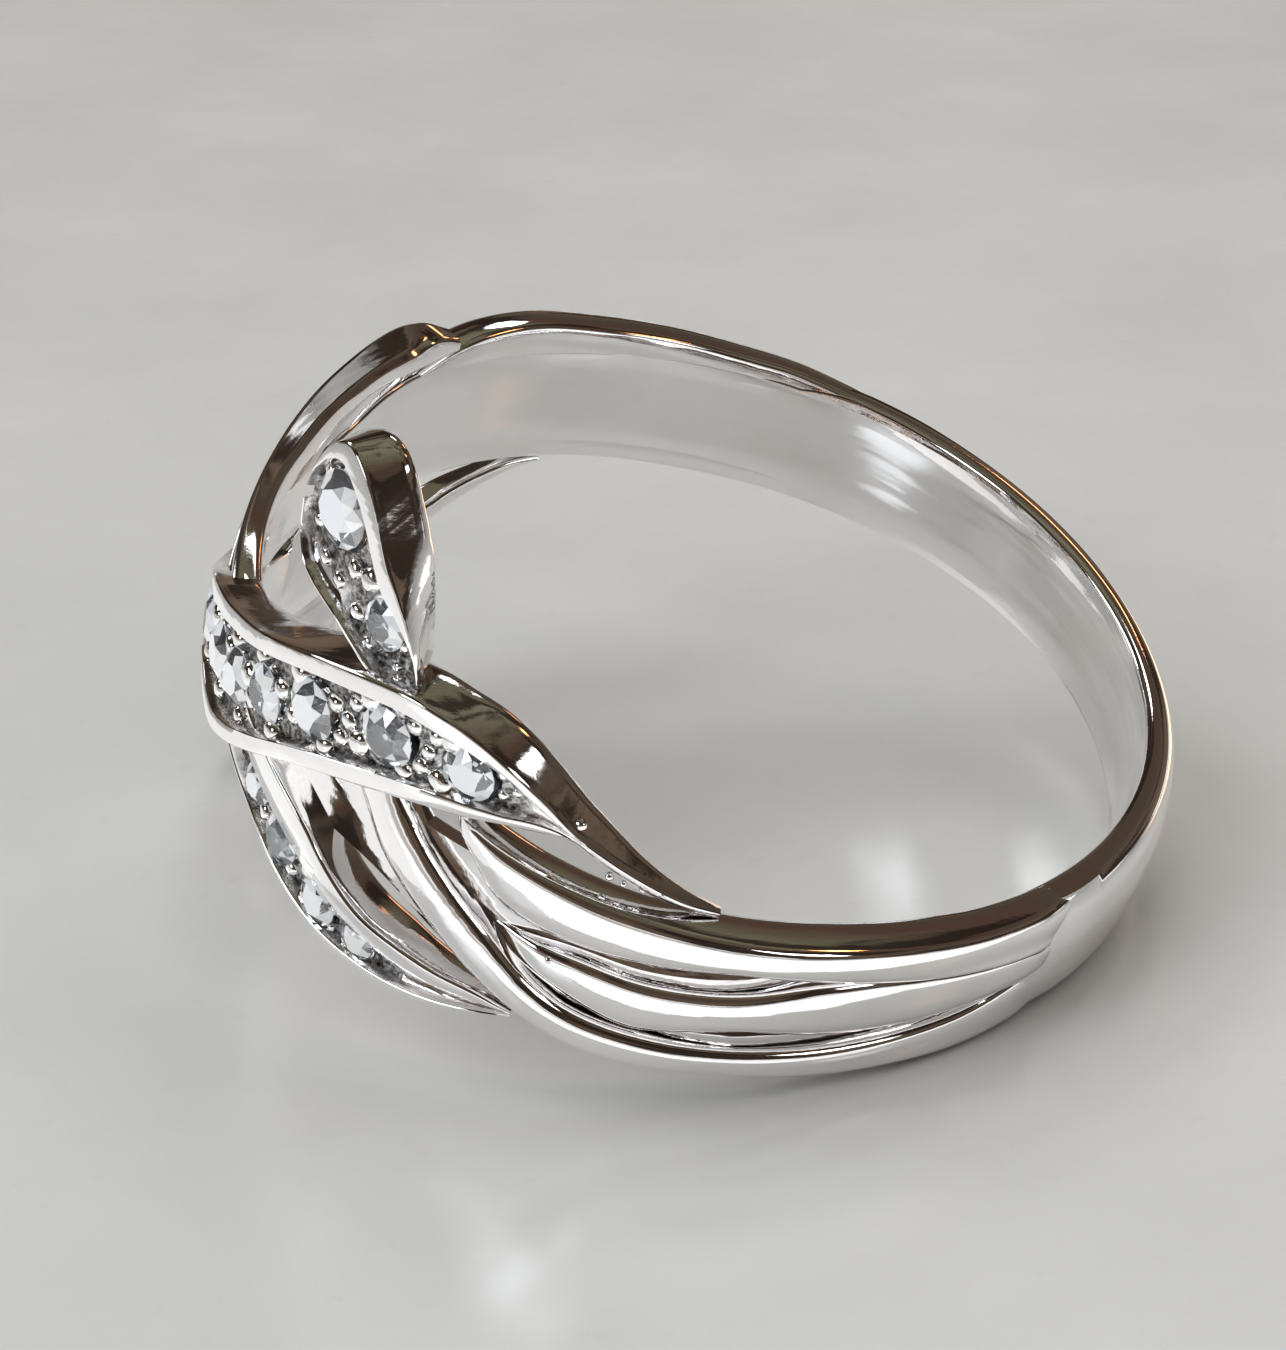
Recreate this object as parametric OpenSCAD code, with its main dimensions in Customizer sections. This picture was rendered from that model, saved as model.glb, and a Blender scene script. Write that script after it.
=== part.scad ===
// Moissanite ring: a cast white-metal crossover ring with two grain-set
// ribbons crossing over the finger, two rounded petals and a three-strand
// shank. It lies on its side on one petal and on the edge of the shank.
//
// Every strand, ribbon and petal is a loft. Its sections are planes that
// hold the axis of the finger hole. An angle is measured around the finger
// hole from the middle of the head (0) to the near side (90) and the back
// of the shank (180). A height is measured along the finger hole from the
// middle plane, and a radius from its axis.

/* [Finger hole] */
// inside diameter, mm: a middle size, 54.4 mm around
bore_d = 17.3; // [15:0.1:21]
// thickness of the plain lining behind the strands, mm
lining = 0.35; // [0.3:0.05:0.6]
// half width of the wall that touches the finger at the shank, mm
wall_half = 1.08; // [0.8:0.01:1.15]

/* [Rest on the floor] */
// direction of the low side of the ring, degrees from the back of the shank
rest_dir = -51.6; // [-90:0.1:90]
// lean of the finger-hole axis from upright, degrees
rest_lean = 19.85; // [0:0.05:30]
// lift of the middle of the ring above the floor, mm
rest_lift = 4.37; // [0:0.01:10]

/* [Stone setting] */
// depth of the stone bed below the rails, mm
bed = 0.18; // [0.1:0.01:0.4]
// clearance around each stone, mm
stone_gap = 0.03; // [0.02:0.01:0.06]
// size of the soft outer corner of a rail, mm
soft = 0.08; // [0.04:0.01:0.15]

/* [Over ribbon] */
// near half of the ribbon that crosses on top; the far half is its half turn
// columns: angle, low edge, high edge, radius at low edge, at high edge,
// width of the low rail, of the high rail, spread of the low wall, of the high wall
over_rows = [
  [0, -1.12, 1.12, 9.54, 9.54, 0.28, 0.28, 0.10, 0.10],
  [5, -1.10, 1.42, 9.60, 9.52, 0.28, 0.28, 0.10, 0.10],
  [10, -0.92, 1.80, 9.68, 9.54, 0.28, 0.28, 0.10, 0.10],
  [15, -0.50, 2.22, 9.76, 9.62, 0.28, 0.28, 0.10, 0.10],
  [20, 0.03, 2.70, 9.82, 9.74, 0.28, 0.28, 0.10, 0.10],
  [30, 1.10, 3.56, 9.85, 9.80, 0.28, 0.28, 0.10, 0.12],
  [40, 1.83, 4.08, 9.75, 9.70, 0.28, 0.28, 0.10, 0.15],
  [46, 2.13, 4.08, 9.65, 9.60, 0.26, 0.26, 0.10, 0.25],
  [50, 2.28, 3.91, 9.55, 9.50, 0.24, 0.24, 0.10, 0.52],
  [54, 2.45, 3.65, 9.45, 9.45, 0.22, 0.22, 0.10, 0.68],
  [58, 2.60, 3.29, 9.38, 9.38, 0.20, 0.20, 0.10, 0.72],
  [62, 2.66, 2.84, 9.30, 9.30, 0.06, 0.06, 0.10, 0.81],
  [66, 2.33, 2.52, 9.25, 9.20, 0.06, 0.06, 0.10, 0.71],
  [70, 2.03, 2.22, 9.15, 9.10, 0.06, 0.06, 0.10, 0.53],
  [75, 1.73, 1.92, 9.05, 9.00, 0.06, 0.06, 0.10, 0.27],
  [79.5, 1.58, 1.72, 8.90, 8.85, 0.05, 0.05, 0.10, 0.10]
];
// columns: angle, diameter of the stone
over_stones = [
  [4.3, 1.15], [12.7, 1.15], [20.7, 1.15],
  [29.1, 1.20], [39.4, 1.15], [49.2, 1.05]
];

// the far half sits a little lower and closer to the finger than the half turn
// columns: angle, drop of its high edge, inset of its radius
far_trim = [
  [-80, 0.00, 0.00], [-60, 0.00, 0.02], [-45, 0.05, 0.10], [-30, 0.50, 0.22],
  [-22, 0.80, 0.25], [-16, 0.85, 0.22], [-10, 0.70, 0.15], [-5, 0.35, 0.05],
  [0, 0.00, 0.00]
];

/* [Under ribbon] */
// whole ribbon that crosses below, from the far tip to the near tip; the
// columns are the same as for the over ribbon
under_rows = [
  [-62, 1.55, 1.78, 9.25, 9.20, 0.08, 0.08, 0.10, 0.00],
  [-58, 1.40, 2.05, 9.30, 9.25, 0.12, 0.20, 0.10, -0.30],
  [-54, 1.35, 2.14, 9.38, 9.25, 0.14, 0.30, 0.15, -0.95],
  [-49, 1.30, 2.08, 9.42, 9.20, 0.14, 0.30, 0.15, -1.10],
  [-44, 1.15, 1.96, 9.45, 9.15, 0.14, 0.20, 0.20, -1.25],
  [-38, 0.85, 1.80, 9.45, 9.12, 0.14, 0.20, 0.40, -1.20],
  [-32, 0.30, 1.55, 9.42, 9.12, 0.14, 0.24, 0.40, -1.00],
  [-25, -0.20, 1.35, 9.36, 9.10, 0.14, 0.26, 0.20, -0.70],
  [-15, -0.60, 1.15, 9.25, 9.12, 0.14, 0.26, 0.15, -0.20],
  [-5, -0.90, 1.00, 9.22, 9.20, 0.16, 0.30, 0.15, 0.10],
  [5, -1.15, 0.85, 9.25, 9.32, 0.16, 0.50, 0.15, 0.10],
  [14, -1.42, 0.65, 9.30, 9.50, 0.16, 0.80, 0.15, 0.00],
  [20, -1.62, 0.45, 9.35, 9.60, 0.16, 0.88, 0.15, -0.10],
  [26, -1.98, 0.15, 9.40, 9.62, 0.16, 0.88, 0.15, -0.15],
  [31, -2.26, -0.18, 9.40, 9.62, 0.16, 0.86, 0.15, -0.15],
  [36, -2.42, -0.72, 9.40, 9.60, 0.16, 0.72, 0.15, -0.10],
  [41, -2.46, -1.08, 9.38, 9.60, 0.16, 0.48, 0.15, 0.05],
  [46, -2.42, -1.24, 9.36, 9.55, 0.16, 0.42, 0.15, 0.10],
  [51, -2.26, -1.38, 9.34, 9.45, 0.14, 0.34, 0.15, 0.05],
  [56, -2.02, -1.45, 9.30, 9.35, 0.12, 0.22, 0.15, 0.00],
  [60.5, -1.75, -1.60, 9.22, 9.25, 0.05, 0.05, 0.10, 0.00]
];
// columns: angle, diameter of the stone
under_near = [[19.8, 0.85], [26.6, 1.00], [34.4, 0.95], [41, 0.70]];
under_far = [[-41, 0.50], [-34.6, 0.62], [-27, 0.70], [-19.5, 0.74]];

/* [Petal] */
// near petal; the far petal is its half turn. The columns are the same, and
// the last one is how far the foot of the wall leads in angle
petal_rows = [
  [18.2, 5.45, 5.90, 9.45, 9.45, 0.08, 0.12, 0.20, 0.95, -3.2],
  [19.0, 4.90, 6.42, 9.48, 9.45, 0.12, 0.15, 0.20, 0.50, -2.4],
  [21.0, 4.45, 7.02, 9.50, 9.45, 0.12, 0.22, 0.20, 0.25, -1.0],
  [23.5, 4.30, 7.38, 9.52, 9.45, 0.12, 0.32, 0.20, 0.20, 0.0],
  [25.5, 4.26, 7.38, 9.54, 9.46, 0.12, 0.40, 0.20, 0.38, 0.0],
  [28.0, 4.20, 7.16, 9.56, 9.47, 0.12, 0.46, 0.20, 0.72, 0.0],
  [30.0, 4.10, 6.85, 9.57, 9.48, 0.12, 0.48, 0.20, 0.92, -0.1],
  [32.0, 3.98, 6.38, 9.57, 9.49, 0.12, 0.46, 0.20, 1.12, -0.4],
  [34.0, 3.85, 5.95, 9.56, 9.50, 0.12, 0.40, 0.20, 1.20, -0.8],
  [36.0, 3.74, 5.62, 9.54, 9.50, 0.12, 0.30, 0.10, 0.95, -1.2],
  [38.0, 3.66, 5.22, 9.52, 9.50, 0.10, 0.20, 0.10, 0.57, -2.3],
  [40.0, 3.60, 4.70, 9.50, 9.48, 0.08, 0.12, 0.10, 0.28, -3.8],
  [41.0, 3.58, 4.25, 9.48, 9.46, 0.05, 0.05, 0.10, 0.25, -4.8]
];
// columns: angle, diameter, height of the stone
petal_stones = [[24.4, 1.42, 6.02], [34.8, 0.95, 4.78]];
// further turn of the far petal, degrees: the head hides it from the near side
petal_shift = -12.5; // [-18:0.5:0]
// rise of the far petal towards its ribbon, mm
petal_rise = 0.05; // [0:0.01:0.5]

/* [Lining] */
// heights of the two edges of the plain lining behind the strands
// columns: angle, low edge, high edge
lining_rows = [
  [-180, -1.20, 1.20], [-120, -1.20, 1.20], [-80, -1.20, 1.20],
  [-62, -1.20, 1.20], [-55, -1.20, 1.15], [-50, -1.20, 0.96],
  [-44, -1.20, 0.60], [-38, -1.20, 0.40], [-30, -1.20, 0.42],
  [-22, -1.10, 0.66], [-12, -1.00, 0.95], [0, -1.00, 1.00],
  [12, -0.95, 1.00], [22, -0.66, 1.10], [30, -0.42, 1.20],
  [38, -0.40, 1.20], [44, -0.60, 1.20], [50, -0.96, 1.20],
  [55, -1.15, 1.20], [62, -1.20, 1.20], [80, -1.20, 1.20],
  [120, -1.20, 1.20], [180, -1.20, 1.20]
];

/* [Shank strands] */
// the near three strands; the far three are their half turn
// columns: angle, low edge, high edge, radius at low edge, at crest, at high edge
strand_top = [
  [47.5, 1.95, 2.12, 8.93, 8.98, 8.96],
  [50, 1.65, 2.05, 9.20, 9.32, 9.30],
  [52, 1.33, 1.95, 9.25, 9.38, 9.33],
  [55, 0.86, 1.85, 9.28, 9.45, 9.35],
  [59, 0.60, 1.75, 9.30, 9.48, 9.35],
  [66, 0.50, 1.65, 9.30, 9.52, 9.35],
  [74, 0.60, 1.60, 9.32, 9.55, 9.37],
  [84, 0.80, 1.58, 9.35, 9.56, 9.38],
  [97, 0.82, 1.60, 9.45, 9.54, 9.38],
  [112, 0.72, 1.56, 9.52, 9.50, 9.34],
  [126, 0.55, 1.50, 9.46, 9.42, 9.25]
];
strand_mid = [
  [54.5, -0.20, 0.08, 8.90, 8.94, 8.92],
  [61, -0.50, 0.15, 9.20, 9.30, 9.20],
  [66, -0.72, 0.20, 9.28, 9.45, 9.30],
  [73, -0.97, 0.14, 9.30, 9.52, 9.35],
  [80, -0.75, 0.24, 9.30, 9.56, 9.38],
  [85, -0.56, 0.40, 9.32, 9.58, 9.40],
  [92, -0.52, 0.72, 9.35, 9.58, 9.44],
  [99, -0.45, 0.86, 9.36, 9.57, 9.46],
  [112, -0.18, 0.78, 9.40, 9.54, 9.50],
  [126, 0.15, 0.60, 9.44, 9.47, 9.46]
];
strand_low = [
  [33, 1.40, 3.20, 9.10, 9.25, 9.10],
  [37, 0.80, 2.50, 9.10, 9.32, 9.15],
  [41, 0.20, 1.70, 9.15, 9.42, 9.20],
  [46, -0.30, 1.02, 9.20, 9.48, 9.25],
  [51, -0.75, 0.48, 9.20, 9.52, 9.28],
  [56, -1.18, -0.02, 9.20, 9.54, 9.30],
  [61, -1.50, -0.56, 9.20, 9.55, 9.32],
  [67, -1.75, -0.94, 9.18, 9.55, 9.34],
  [75, -1.85, -1.06, 9.16, 9.54, 9.34],
  [85, -1.72, -0.99, 9.16, 9.53, 9.34],
  [95, -1.62, -0.82, 9.16, 9.52, 9.34],
  [104, -1.53, -0.62, 9.16, 9.50, 9.34],
  [112, -1.49, -0.40, 9.16, 9.48, 9.36],
  [119, -1.40, -0.05, 9.15, 9.46, 9.40],
  [126, -1.35, 0.25, 9.12, 9.43, 9.44]
];
// plain back of the shank, where the strands run together
back_rows = [
  [111, -1.14, 1.16, 8.92, 9.10, 8.95],
  [119, -1.38, 1.46, 9.08, 9.40, 9.14],
  [126, -1.365, 1.47, 9.12, 9.50, 9.22],
  [134, -1.395, 1.43, 9.11, 9.48, 9.18],
  [140, -1.36, 1.40, 9.10, 9.46, 9.14],
  [160, -1.27, 1.30, 9.08, 9.43, 9.10],
  [180, -1.25, 1.25, 9.08, 9.42, 9.08],
  [200, -1.30, 1.27, 9.10, 9.43, 9.08],
  [220, -1.40, 1.32, 9.14, 9.46, 9.10],
  [234, -1.47, 1.38, 9.22, 9.50, 9.12],
  [241, -1.46, 1.38, 9.14, 9.40, 9.08],
  [249, -1.16, 1.14, 8.95, 9.10, 8.92]
];

/* [Hidden] */
bore_r = bore_d/2;
root_r = bore_r - 0.25;
metal = [0.86, 0.86, 0.88];
gem = [0.86, 0.93, 1.0];

// Reading the tables
// a column of a table read smoothly at any angle
function row_of(t, a, i = 0) = i >= len(t) - 2 || a < t[i + 1][0] ? i : row_of(t, a, i + 1);
function rise(t, c, i) = let(p = t[max(i - 1, 0)], q = t[min(i + 1, len(t) - 1)]) (q[c] - p[c])/(q[0] - p[0]);
function read(t, c, a) = let(
  i = row_of(t, a), w = t[i + 1][0] - t[i][0], u = (a - t[i][0])/w,
  v = 1 - u)
  (1 + 2*u)*v*v*t[i][c] + u*v*v*w*rise(t, c, i)
  + (3 - 2*u)*u*u*t[i + 1][c] - u*u*v*w*rise(t, c, i + 1);
// all columns of a table at one angle
function row_at(t, a) = [for (c = [0:len(t[0]) - 1]) c == 0 ? a : read(t, c, a)];
// a row turned half a turn about the head axis
function turned(r) = [-r[0], -r[2], -r[1], r[4], r[3], r[6], r[5], r[8], r[7]];
function trimmed(r, t) = [r[0], r[1], r[2] - t[1], r[3] - t[2], r[4] - t[2], r[5], r[6], r[7], r[8]];
function over_at(a) = a < 0 ? trimmed(turned(row_at(over_rows, -a)), row_at(far_trim, a)) : row_at(over_rows, a);
function under_at(a) = row_at(under_rows, a);
function petal_at(a) = row_at(petal_rows, a);

// Sections
function on_ring(a, r, z) = [-r*cos(a), -r*sin(a), z];
// a rounded strand: low foot, seven points over the crown, high foot
crown = [0, 0.08, 0.25, 0.5, 0.75, 0.92, 1];
function strand_section(r, root) = let(z = function(u) r[1] + u*(r[2] - r[1]),
  h = function(u) let(e = u < 0.5 ? r[3] : r[5], k = 2*u - 1) r[4] + (e - r[4])*k*k*abs(k))
  concat([on_ring(r[0], root, r[1])],
    [for (u = crown) on_ring(r[0], h(u) - (u == 0 || u == 1 ? 0.06 : 0), z(u))],
    [on_ring(r[0], root, r[2])]);
// where the bed of a set ribbon begins and ends
function bed_lo(r) = r[1] + r[5];
function bed_hi(r) = r[2] - r[6];
// a set ribbon: low foot, wall, rail, bed, rail, wall, high foot
function set_section(r, root, pit = 0) = let(
  w = r[2] - r[1], d = bed*min(1, w/0.9), s = min(soft, 0.2*w),
  h = function(z) r[3] + (r[4] - r[3])*(z - r[1])/w, m = (bed_lo(r) + bed_hi(r))/2,
  f = r[0] + (len(r) > 9 ? r[9] : 0), g = 0.03*min(1, w))
  [on_ring(f, root, r[1] - r[7]),
   on_ring(r[0], r[3] - soft, r[1]),
   on_ring(r[0], h(r[1] + min(s, r[5]/2)), r[1] + min(s, r[5]/2)),
   on_ring(r[0], h(bed_lo(r)), bed_lo(r)),
   on_ring(r[0], h(bed_lo(r)) - d, bed_lo(r) + g),
   pit == 0 ? on_ring(r[0], h(m) - d, m) : pit,
   on_ring(r[0], h(bed_hi(r)) - d, bed_hi(r) - g),
   on_ring(r[0], h(bed_hi(r)), bed_hi(r)),
   on_ring(r[0], h(r[2] - min(s, r[6]/2)), r[2] - min(s, r[6]/2)),
   on_ring(r[0], r[4] - soft, r[2]),
   on_ring(f, root, r[2] + r[8])];

// Stones
// where a stone sits: angle, height, radius at its girdle, diameter
function seat_of(at, s) = let(r = at(s[0]), z = len(s) > 2 ? s[2] : (bed_lo(r) + bed_hi(r))/2)
  [s[0], z, r[3] + (r[4] - r[3])*(z - r[1])/(r[2] - r[1]) - bed, s[1]];
// a point beside a seat: along the ring, along the finger hole, outwards
function beside(q, x, y, h) = on_ring(q[0], q[2] + h, q[1]) + x*[sin(q[0]), -cos(q[0]), 0] + [0, 0, y];
function pit_of(q) = beside(q, 0, 0, -0.13 - 0.44*q[3]);

// Lofts
// angles of the sections of a row of stones: edge, stone, edge, stone, edge,
// with the spaces between them cut in equal steps
function edge_of(s, k) = k == 0 ? (3*s[0][0] - s[1][0])/2
  : k == len(s) ? (3*s[k - 1][0] - s[k - 2][0])/2 : (s[k - 1][0] + s[k][0])/2;
function row_angles(s, steps = 1) = let(
  e = concat([for (k = [0:len(s) - 1]) each [edge_of(s, k), s[k][0]]], [edge_of(s, len(s))]))
  [for (i = [0:steps*(len(e) - 1)]) let(k = floor(i/steps), u = i/steps - k) u == 0 ? e[k] : e[k] + u*(e[k + 1] - e[k])];
function strip_faces(n, m, skip, low, ring) = [
  for (i = [0:n - (ring ? 1 : 2)], j = [0:m - 1], h = [0, 1])
    if (!((j == low || j == low + 1) && len([for (c = skip) if (i >= c[0] && i < c[1]) c]) > 0))
    let(a = i*m + j, b = i*m + (j + 1)%m, c = (a + m)%(n*m), d = (b + m)%(n*m))
    h == 0 ? [a, b, d] : [a, d, c]];
// the bed around one seat: from the edge of its cell to the seat and its pit
function cell_faces(c, k, m, low, p) = let(
  g = concat([for (i = [0:k]) (c + i)*m + low], [(c + k)*m + low + 1],
    [for (i = [k:-1:0]) (c + i)*m + low + 2], [c*m + low + 1]),
  n = len(g), pit = (c + k/2)*m + low + 1)
  concat(
    [for (j = [0:n - 1], h = [0:2]) let(b = g[j], d = g[(j + 1)%n], e = p + 2*j)
      h == 0 ? [d, b, e + 1] : h == 1 ? [b, e, e + 1] : [d, e + 1, p + (2*j + 2)%(2*n)]],
    [for (t = [0:2*n - 1], h = [0:2]) let(u = (t + 1)%(2*n), a = p + t, b = p + u)
      h == 0 ? [b, a, b + 2*n] : h == 1 ? [a, a + 2*n, b + 2*n] : [b + 2*n, a + 2*n, pit]]);
// the seat ring of a cell of k sections; its first point faces the first corner
function seat_ring(q, k, r, h) = let(n = 4*k + 8, a = function(t) let(u = t/(2*k))
    u < 1 ? 225 + 90*u : u < 1 + 2/k ? 315 + 45*(u - 1)*k : u < 2 + 2/k ? 45 + 90*(u - 1 - 2/k) : 135 + 45*(u - 2 - 2/k)*k)
  [for (t = [0:n - 1]) beside(q, r*cos(a(t)), r*sin(a(t)), h)];
set_caps = [[1, 2, 3], [1, 3, 4], [0, 1, 4], [0, 4, 5], [0, 5, 10], [10, 5, 6], [10, 6, 9], [9, 6, 7], [9, 7, 8]];

module strand(rows, steps, root) {
  list = [for (i = [0:steps]) rows[0][0] + i/steps*(rows[len(rows) - 1][0] - rows[0][0])];
  n = len(list);
  polyhedron(
    [for (a = list) each strand_section(row_at(rows, a), root)],
    concat([[for (j = [8:-1:0]) j]], [[for (j = [0:8]) (n - 1)*9 + j]],
      strip_faces(n, 9, [], -9, false)));
}
// a ribbon from the angles of its sections and the seats of its stones; each
// stone has a cell of k spaces between sections
module set_ribbon(at, list, seats, root, k = 2) {
  cells = [for (q = seats) each [for (i = [0:len(list) - 1]) if (list[i] == q[0]) i - k/2]];
  pit = function(i) let(hit = [for (s = [0:len(seats) - 1]) if (cells[s] == i - k/2) s])
    len(hit) == 0 ? 0 : pit_of(seats[hit[0]]);
  n = len(list);
  ring = 4*k + 8;
  polyhedron(
    concat([for (i = [0:n - 1]) each set_section(at(list[i]), root, pit(i))],
      [for (q = seats) each concat(
        seat_ring(q, k, 0.51*q[3] + stone_gap, 0),
        seat_ring(q, k, 0.51*q[3] + stone_gap, -0.08))]),
    concat([for (f = set_caps) [f[2], f[1], f[0]]], [for (f = set_caps) [for (v = f) (n - 1)*11 + v]],
      strip_faces(n, 11, [for (c = cells) [c, c + k]], 4, false),
      [for (s = [0:len(seats) - 1]) each cell_faces(cells[s], k, 11, 4, n*11 + 2*ring*s)]));
}
module lining_band() {
  list = [for (i = [0:71]) -179.4 + 5*i];
  polyhedron(
    [for (a = list) let(r = row_at(lining_rows, a)) each [
      on_ring(a, root_r, r[1]), on_ring(a, bore_r + lining, r[1]),
      on_ring(a, bore_r + lining, r[2]), on_ring(a, root_r, r[2])]],
    strip_faces(72, 4, [], -9, true));
}
module cut_stone(q) {
  d = q[3];
  g = [for (t = [0:15]) [cos(22.5*t), sin(22.5*t)]*d/2];
  color(gem)
  translate(on_ring(q[0], q[2] + 0.03, q[1])) rotate([0, 0, q[0]]) rotate([0, -90, 0])
  polyhedron(
    concat([for (t = [0:2:15]) [g[t][0]*0.57, g[t][1]*0.57, 0.16*d]],
      [for (p = g) [p[0], p[1], 0.015*d]], [for (p = g) [p[0], p[1], -0.015*d]],
      [[0, 0, -0.43*d]]),
    concat([[for (j = [7:-1:0]) j]],
      [for (j = [0:7], h = [0:2]) let(a = 8 + 2*j, k = (j + 1)%8, b = 8 + (2*j + 2)%16)
        h == 0 ? [j, a + 1, a] : h == 1 ? [j, k, a + 1] : [k, b, a + 1]],
      [for (t = [0:15]) let(u = (t + 1)%16) [8 + t, 8 + u, 24 + u, 24 + t]],
      [for (t = [0:15]) let(u = (t + 1)%16) [24 + t, 24 + u, 40]]));
}

over_all = concat([for (i = [5:-1:0]) [-over_stones[i][0], over_stones[i][1]]], over_stones);
over_seats = [for (s = over_all) seat_of(function(a) over_at(a), s)];
under_seats = [for (s = concat(under_far, under_near)) seat_of(function(a) under_at(a), s)];
petal_seats = [for (s = petal_stones) seat_of(function(a) petal_at(a), s)];

// Sub-parts
module laid() {
  translate([0, 0, rest_lift]) rotate(a = rest_lean, v = [-sin(rest_dir), cos(rest_dir), 0]) children();
}
module petal() {
  set_ribbon(function(a) petal_at(a),
    concat([18.2], row_angles(petal_stones, 2), [41]), petal_seats, root_r - 0.02, 4);
}
module far_petal() { translate([0, 0, petal_rise]) rotate([0, 0, petal_shift]) rotate([180, 0, 0]) children(); }
module near_strands() {
  strand(strand_top, 20, root_r - 0.03);
  strand(strand_mid, 18, root_r - 0.05);
  strand(strand_low, 24, root_r - 0.07);
}
// the plain wall that touches the finger: the whole width at the shank and a
// narrow band at the head
module finger_wall() {
  difference() {
    rotate([0, 0, 0.31]) rotate_extrude($fn = 180)
      translate([bore_r - 0.05, -wall_half]) square([0.3, 2*wall_half]);
    for (s = [-1, 1]) translate([-12, -12, s*1.33 - 1]) cube([8.5, 24, 2]);
  }
}
module ring_metal() {
  color(metal) laid() difference() {
    resize([0, 0, 0]) union() {
      difference() {
        union() {
          lining_band();
          set_ribbon(function(a) over_at(a),
            concat([-79.5, -75.3, -70.3, -66.3, -62.3, -58.3], row_angles(over_all), [58.3, 62.3, 66.3, 70.3, 75.3, 79.5]),
            over_seats, root_r - 0.09);
          set_ribbon(function(a) under_at(a),
            concat([-62, -57.3, -51.3], row_angles(under_far), [-9.6, 0.4, 9.7], row_angles(under_near), [51.2, 56.2, 60.5]),
            under_seats, root_r - 0.11);
          petal();
          far_petal() petal();
          near_strands();
          rotate([180, 0, 0]) near_strands();
          strand(back_rows, 24, root_r - 0.13);
        }
        rotate([0, 0, 0.31]) cylinder(h = 30, r = bore_r + 0.01, center = true, $fn = 180);
      }
      finger_wall();
    }
    cylinder(h = 30, r = bore_r, center = true, $fn = 360);
  }
}
module over_stone(i) { laid() cut_stone(over_seats[i]); }
module under_stone(i) { laid() cut_stone(under_seats[i]); }
module petal_stone(i) { laid() cut_stone(petal_seats[i]); }
module far_petal_stone(i) { laid() far_petal() cut_stone(petal_seats[i]); }

ring_metal();
over_stone(0);  // over_stone_1
over_stone(1);  // over_stone_2
over_stone(2);  // over_stone_3
over_stone(3);  // over_stone_4
over_stone(4);  // over_stone_5
over_stone(5);  // over_stone_6
over_stone(6);  // over_stone_7
over_stone(7);  // over_stone_8
over_stone(8);  // over_stone_9
over_stone(9);  // over_stone_10
over_stone(10);  // over_stone_11
over_stone(11);  // over_stone_12
under_stone(0);  // under_stone_1
under_stone(1);  // under_stone_2
under_stone(2);  // under_stone_3
under_stone(3);  // under_stone_4
under_stone(4);  // under_stone_5
under_stone(5);  // under_stone_6
under_stone(6);  // under_stone_7
under_stone(7);  // under_stone_8
petal_stone(0);  // petal_stone_1
petal_stone(1);  // petal_stone_2
far_petal_stone(0);  // petal_stone_3
far_petal_stone(1);  // petal_stone_4
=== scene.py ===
# %% [markdown]
# A crossover ring with grain-set stones, lying on its side.
# The ring is cast in one piece: a smooth lining round the finger, three
# strands on each side that make the shank, two ribbons that cross over the
# finger, and two rounded petals. Small stones sit in the ribbons and petals,
# each held by tiny grains of metal. This script makes the bright surface of
# that casting, its stones and its grains, and lights them like a small thing
# on a polished stone counter. The ring's sizes are in millimetres. Finished
# meshes, the counter, the lights and the camera are in metres.

# %% Set up
import bpy, math
import numpy as np
from mathutils import Vector, Matrix


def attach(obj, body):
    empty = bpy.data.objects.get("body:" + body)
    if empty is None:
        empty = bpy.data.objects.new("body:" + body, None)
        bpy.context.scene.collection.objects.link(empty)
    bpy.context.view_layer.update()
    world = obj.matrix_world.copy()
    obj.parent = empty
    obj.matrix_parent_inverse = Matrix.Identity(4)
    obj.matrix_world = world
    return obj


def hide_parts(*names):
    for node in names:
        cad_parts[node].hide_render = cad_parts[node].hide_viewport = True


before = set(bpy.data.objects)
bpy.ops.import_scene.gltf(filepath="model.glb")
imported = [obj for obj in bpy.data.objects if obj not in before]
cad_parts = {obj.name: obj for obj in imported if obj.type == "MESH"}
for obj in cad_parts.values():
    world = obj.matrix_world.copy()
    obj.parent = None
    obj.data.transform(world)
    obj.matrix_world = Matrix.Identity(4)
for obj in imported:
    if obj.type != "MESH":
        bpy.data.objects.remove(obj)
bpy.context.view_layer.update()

MM = 0.001
# radius of the finger hole, and of the feet that stop a hair outside it
BORE_R = 8.65
INNER_R = BORE_R + 0.004
# thickness of the lining, depth of a set bed, rounding of a rail's edge
LINING, BED, SOFT = 0.35, 0.18, 0.08
# how the ring lies: direction and angle of its lean in degrees, and its lift
REST_DIR, REST_LEAN, REST_LIFT = -51.6, 19.85, 4.37
# the far petal against the near one: its turn in degrees, and its rise
PETAL_SHIFT, PETAL_RISE = -12.5, 0.05

# %% [markdown]
# The shape is kept in short tables, a row for each place round the ring. An
# angle of 0 is the middle of the head, 90 is the near side and 180 the back
# of the shank. Heights run along the finger hole, and radii from its axis.
# The tables are the same as in the part's source, because the bright surface
# has to lie on the solid that it stands for. Only the rails change later.

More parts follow.
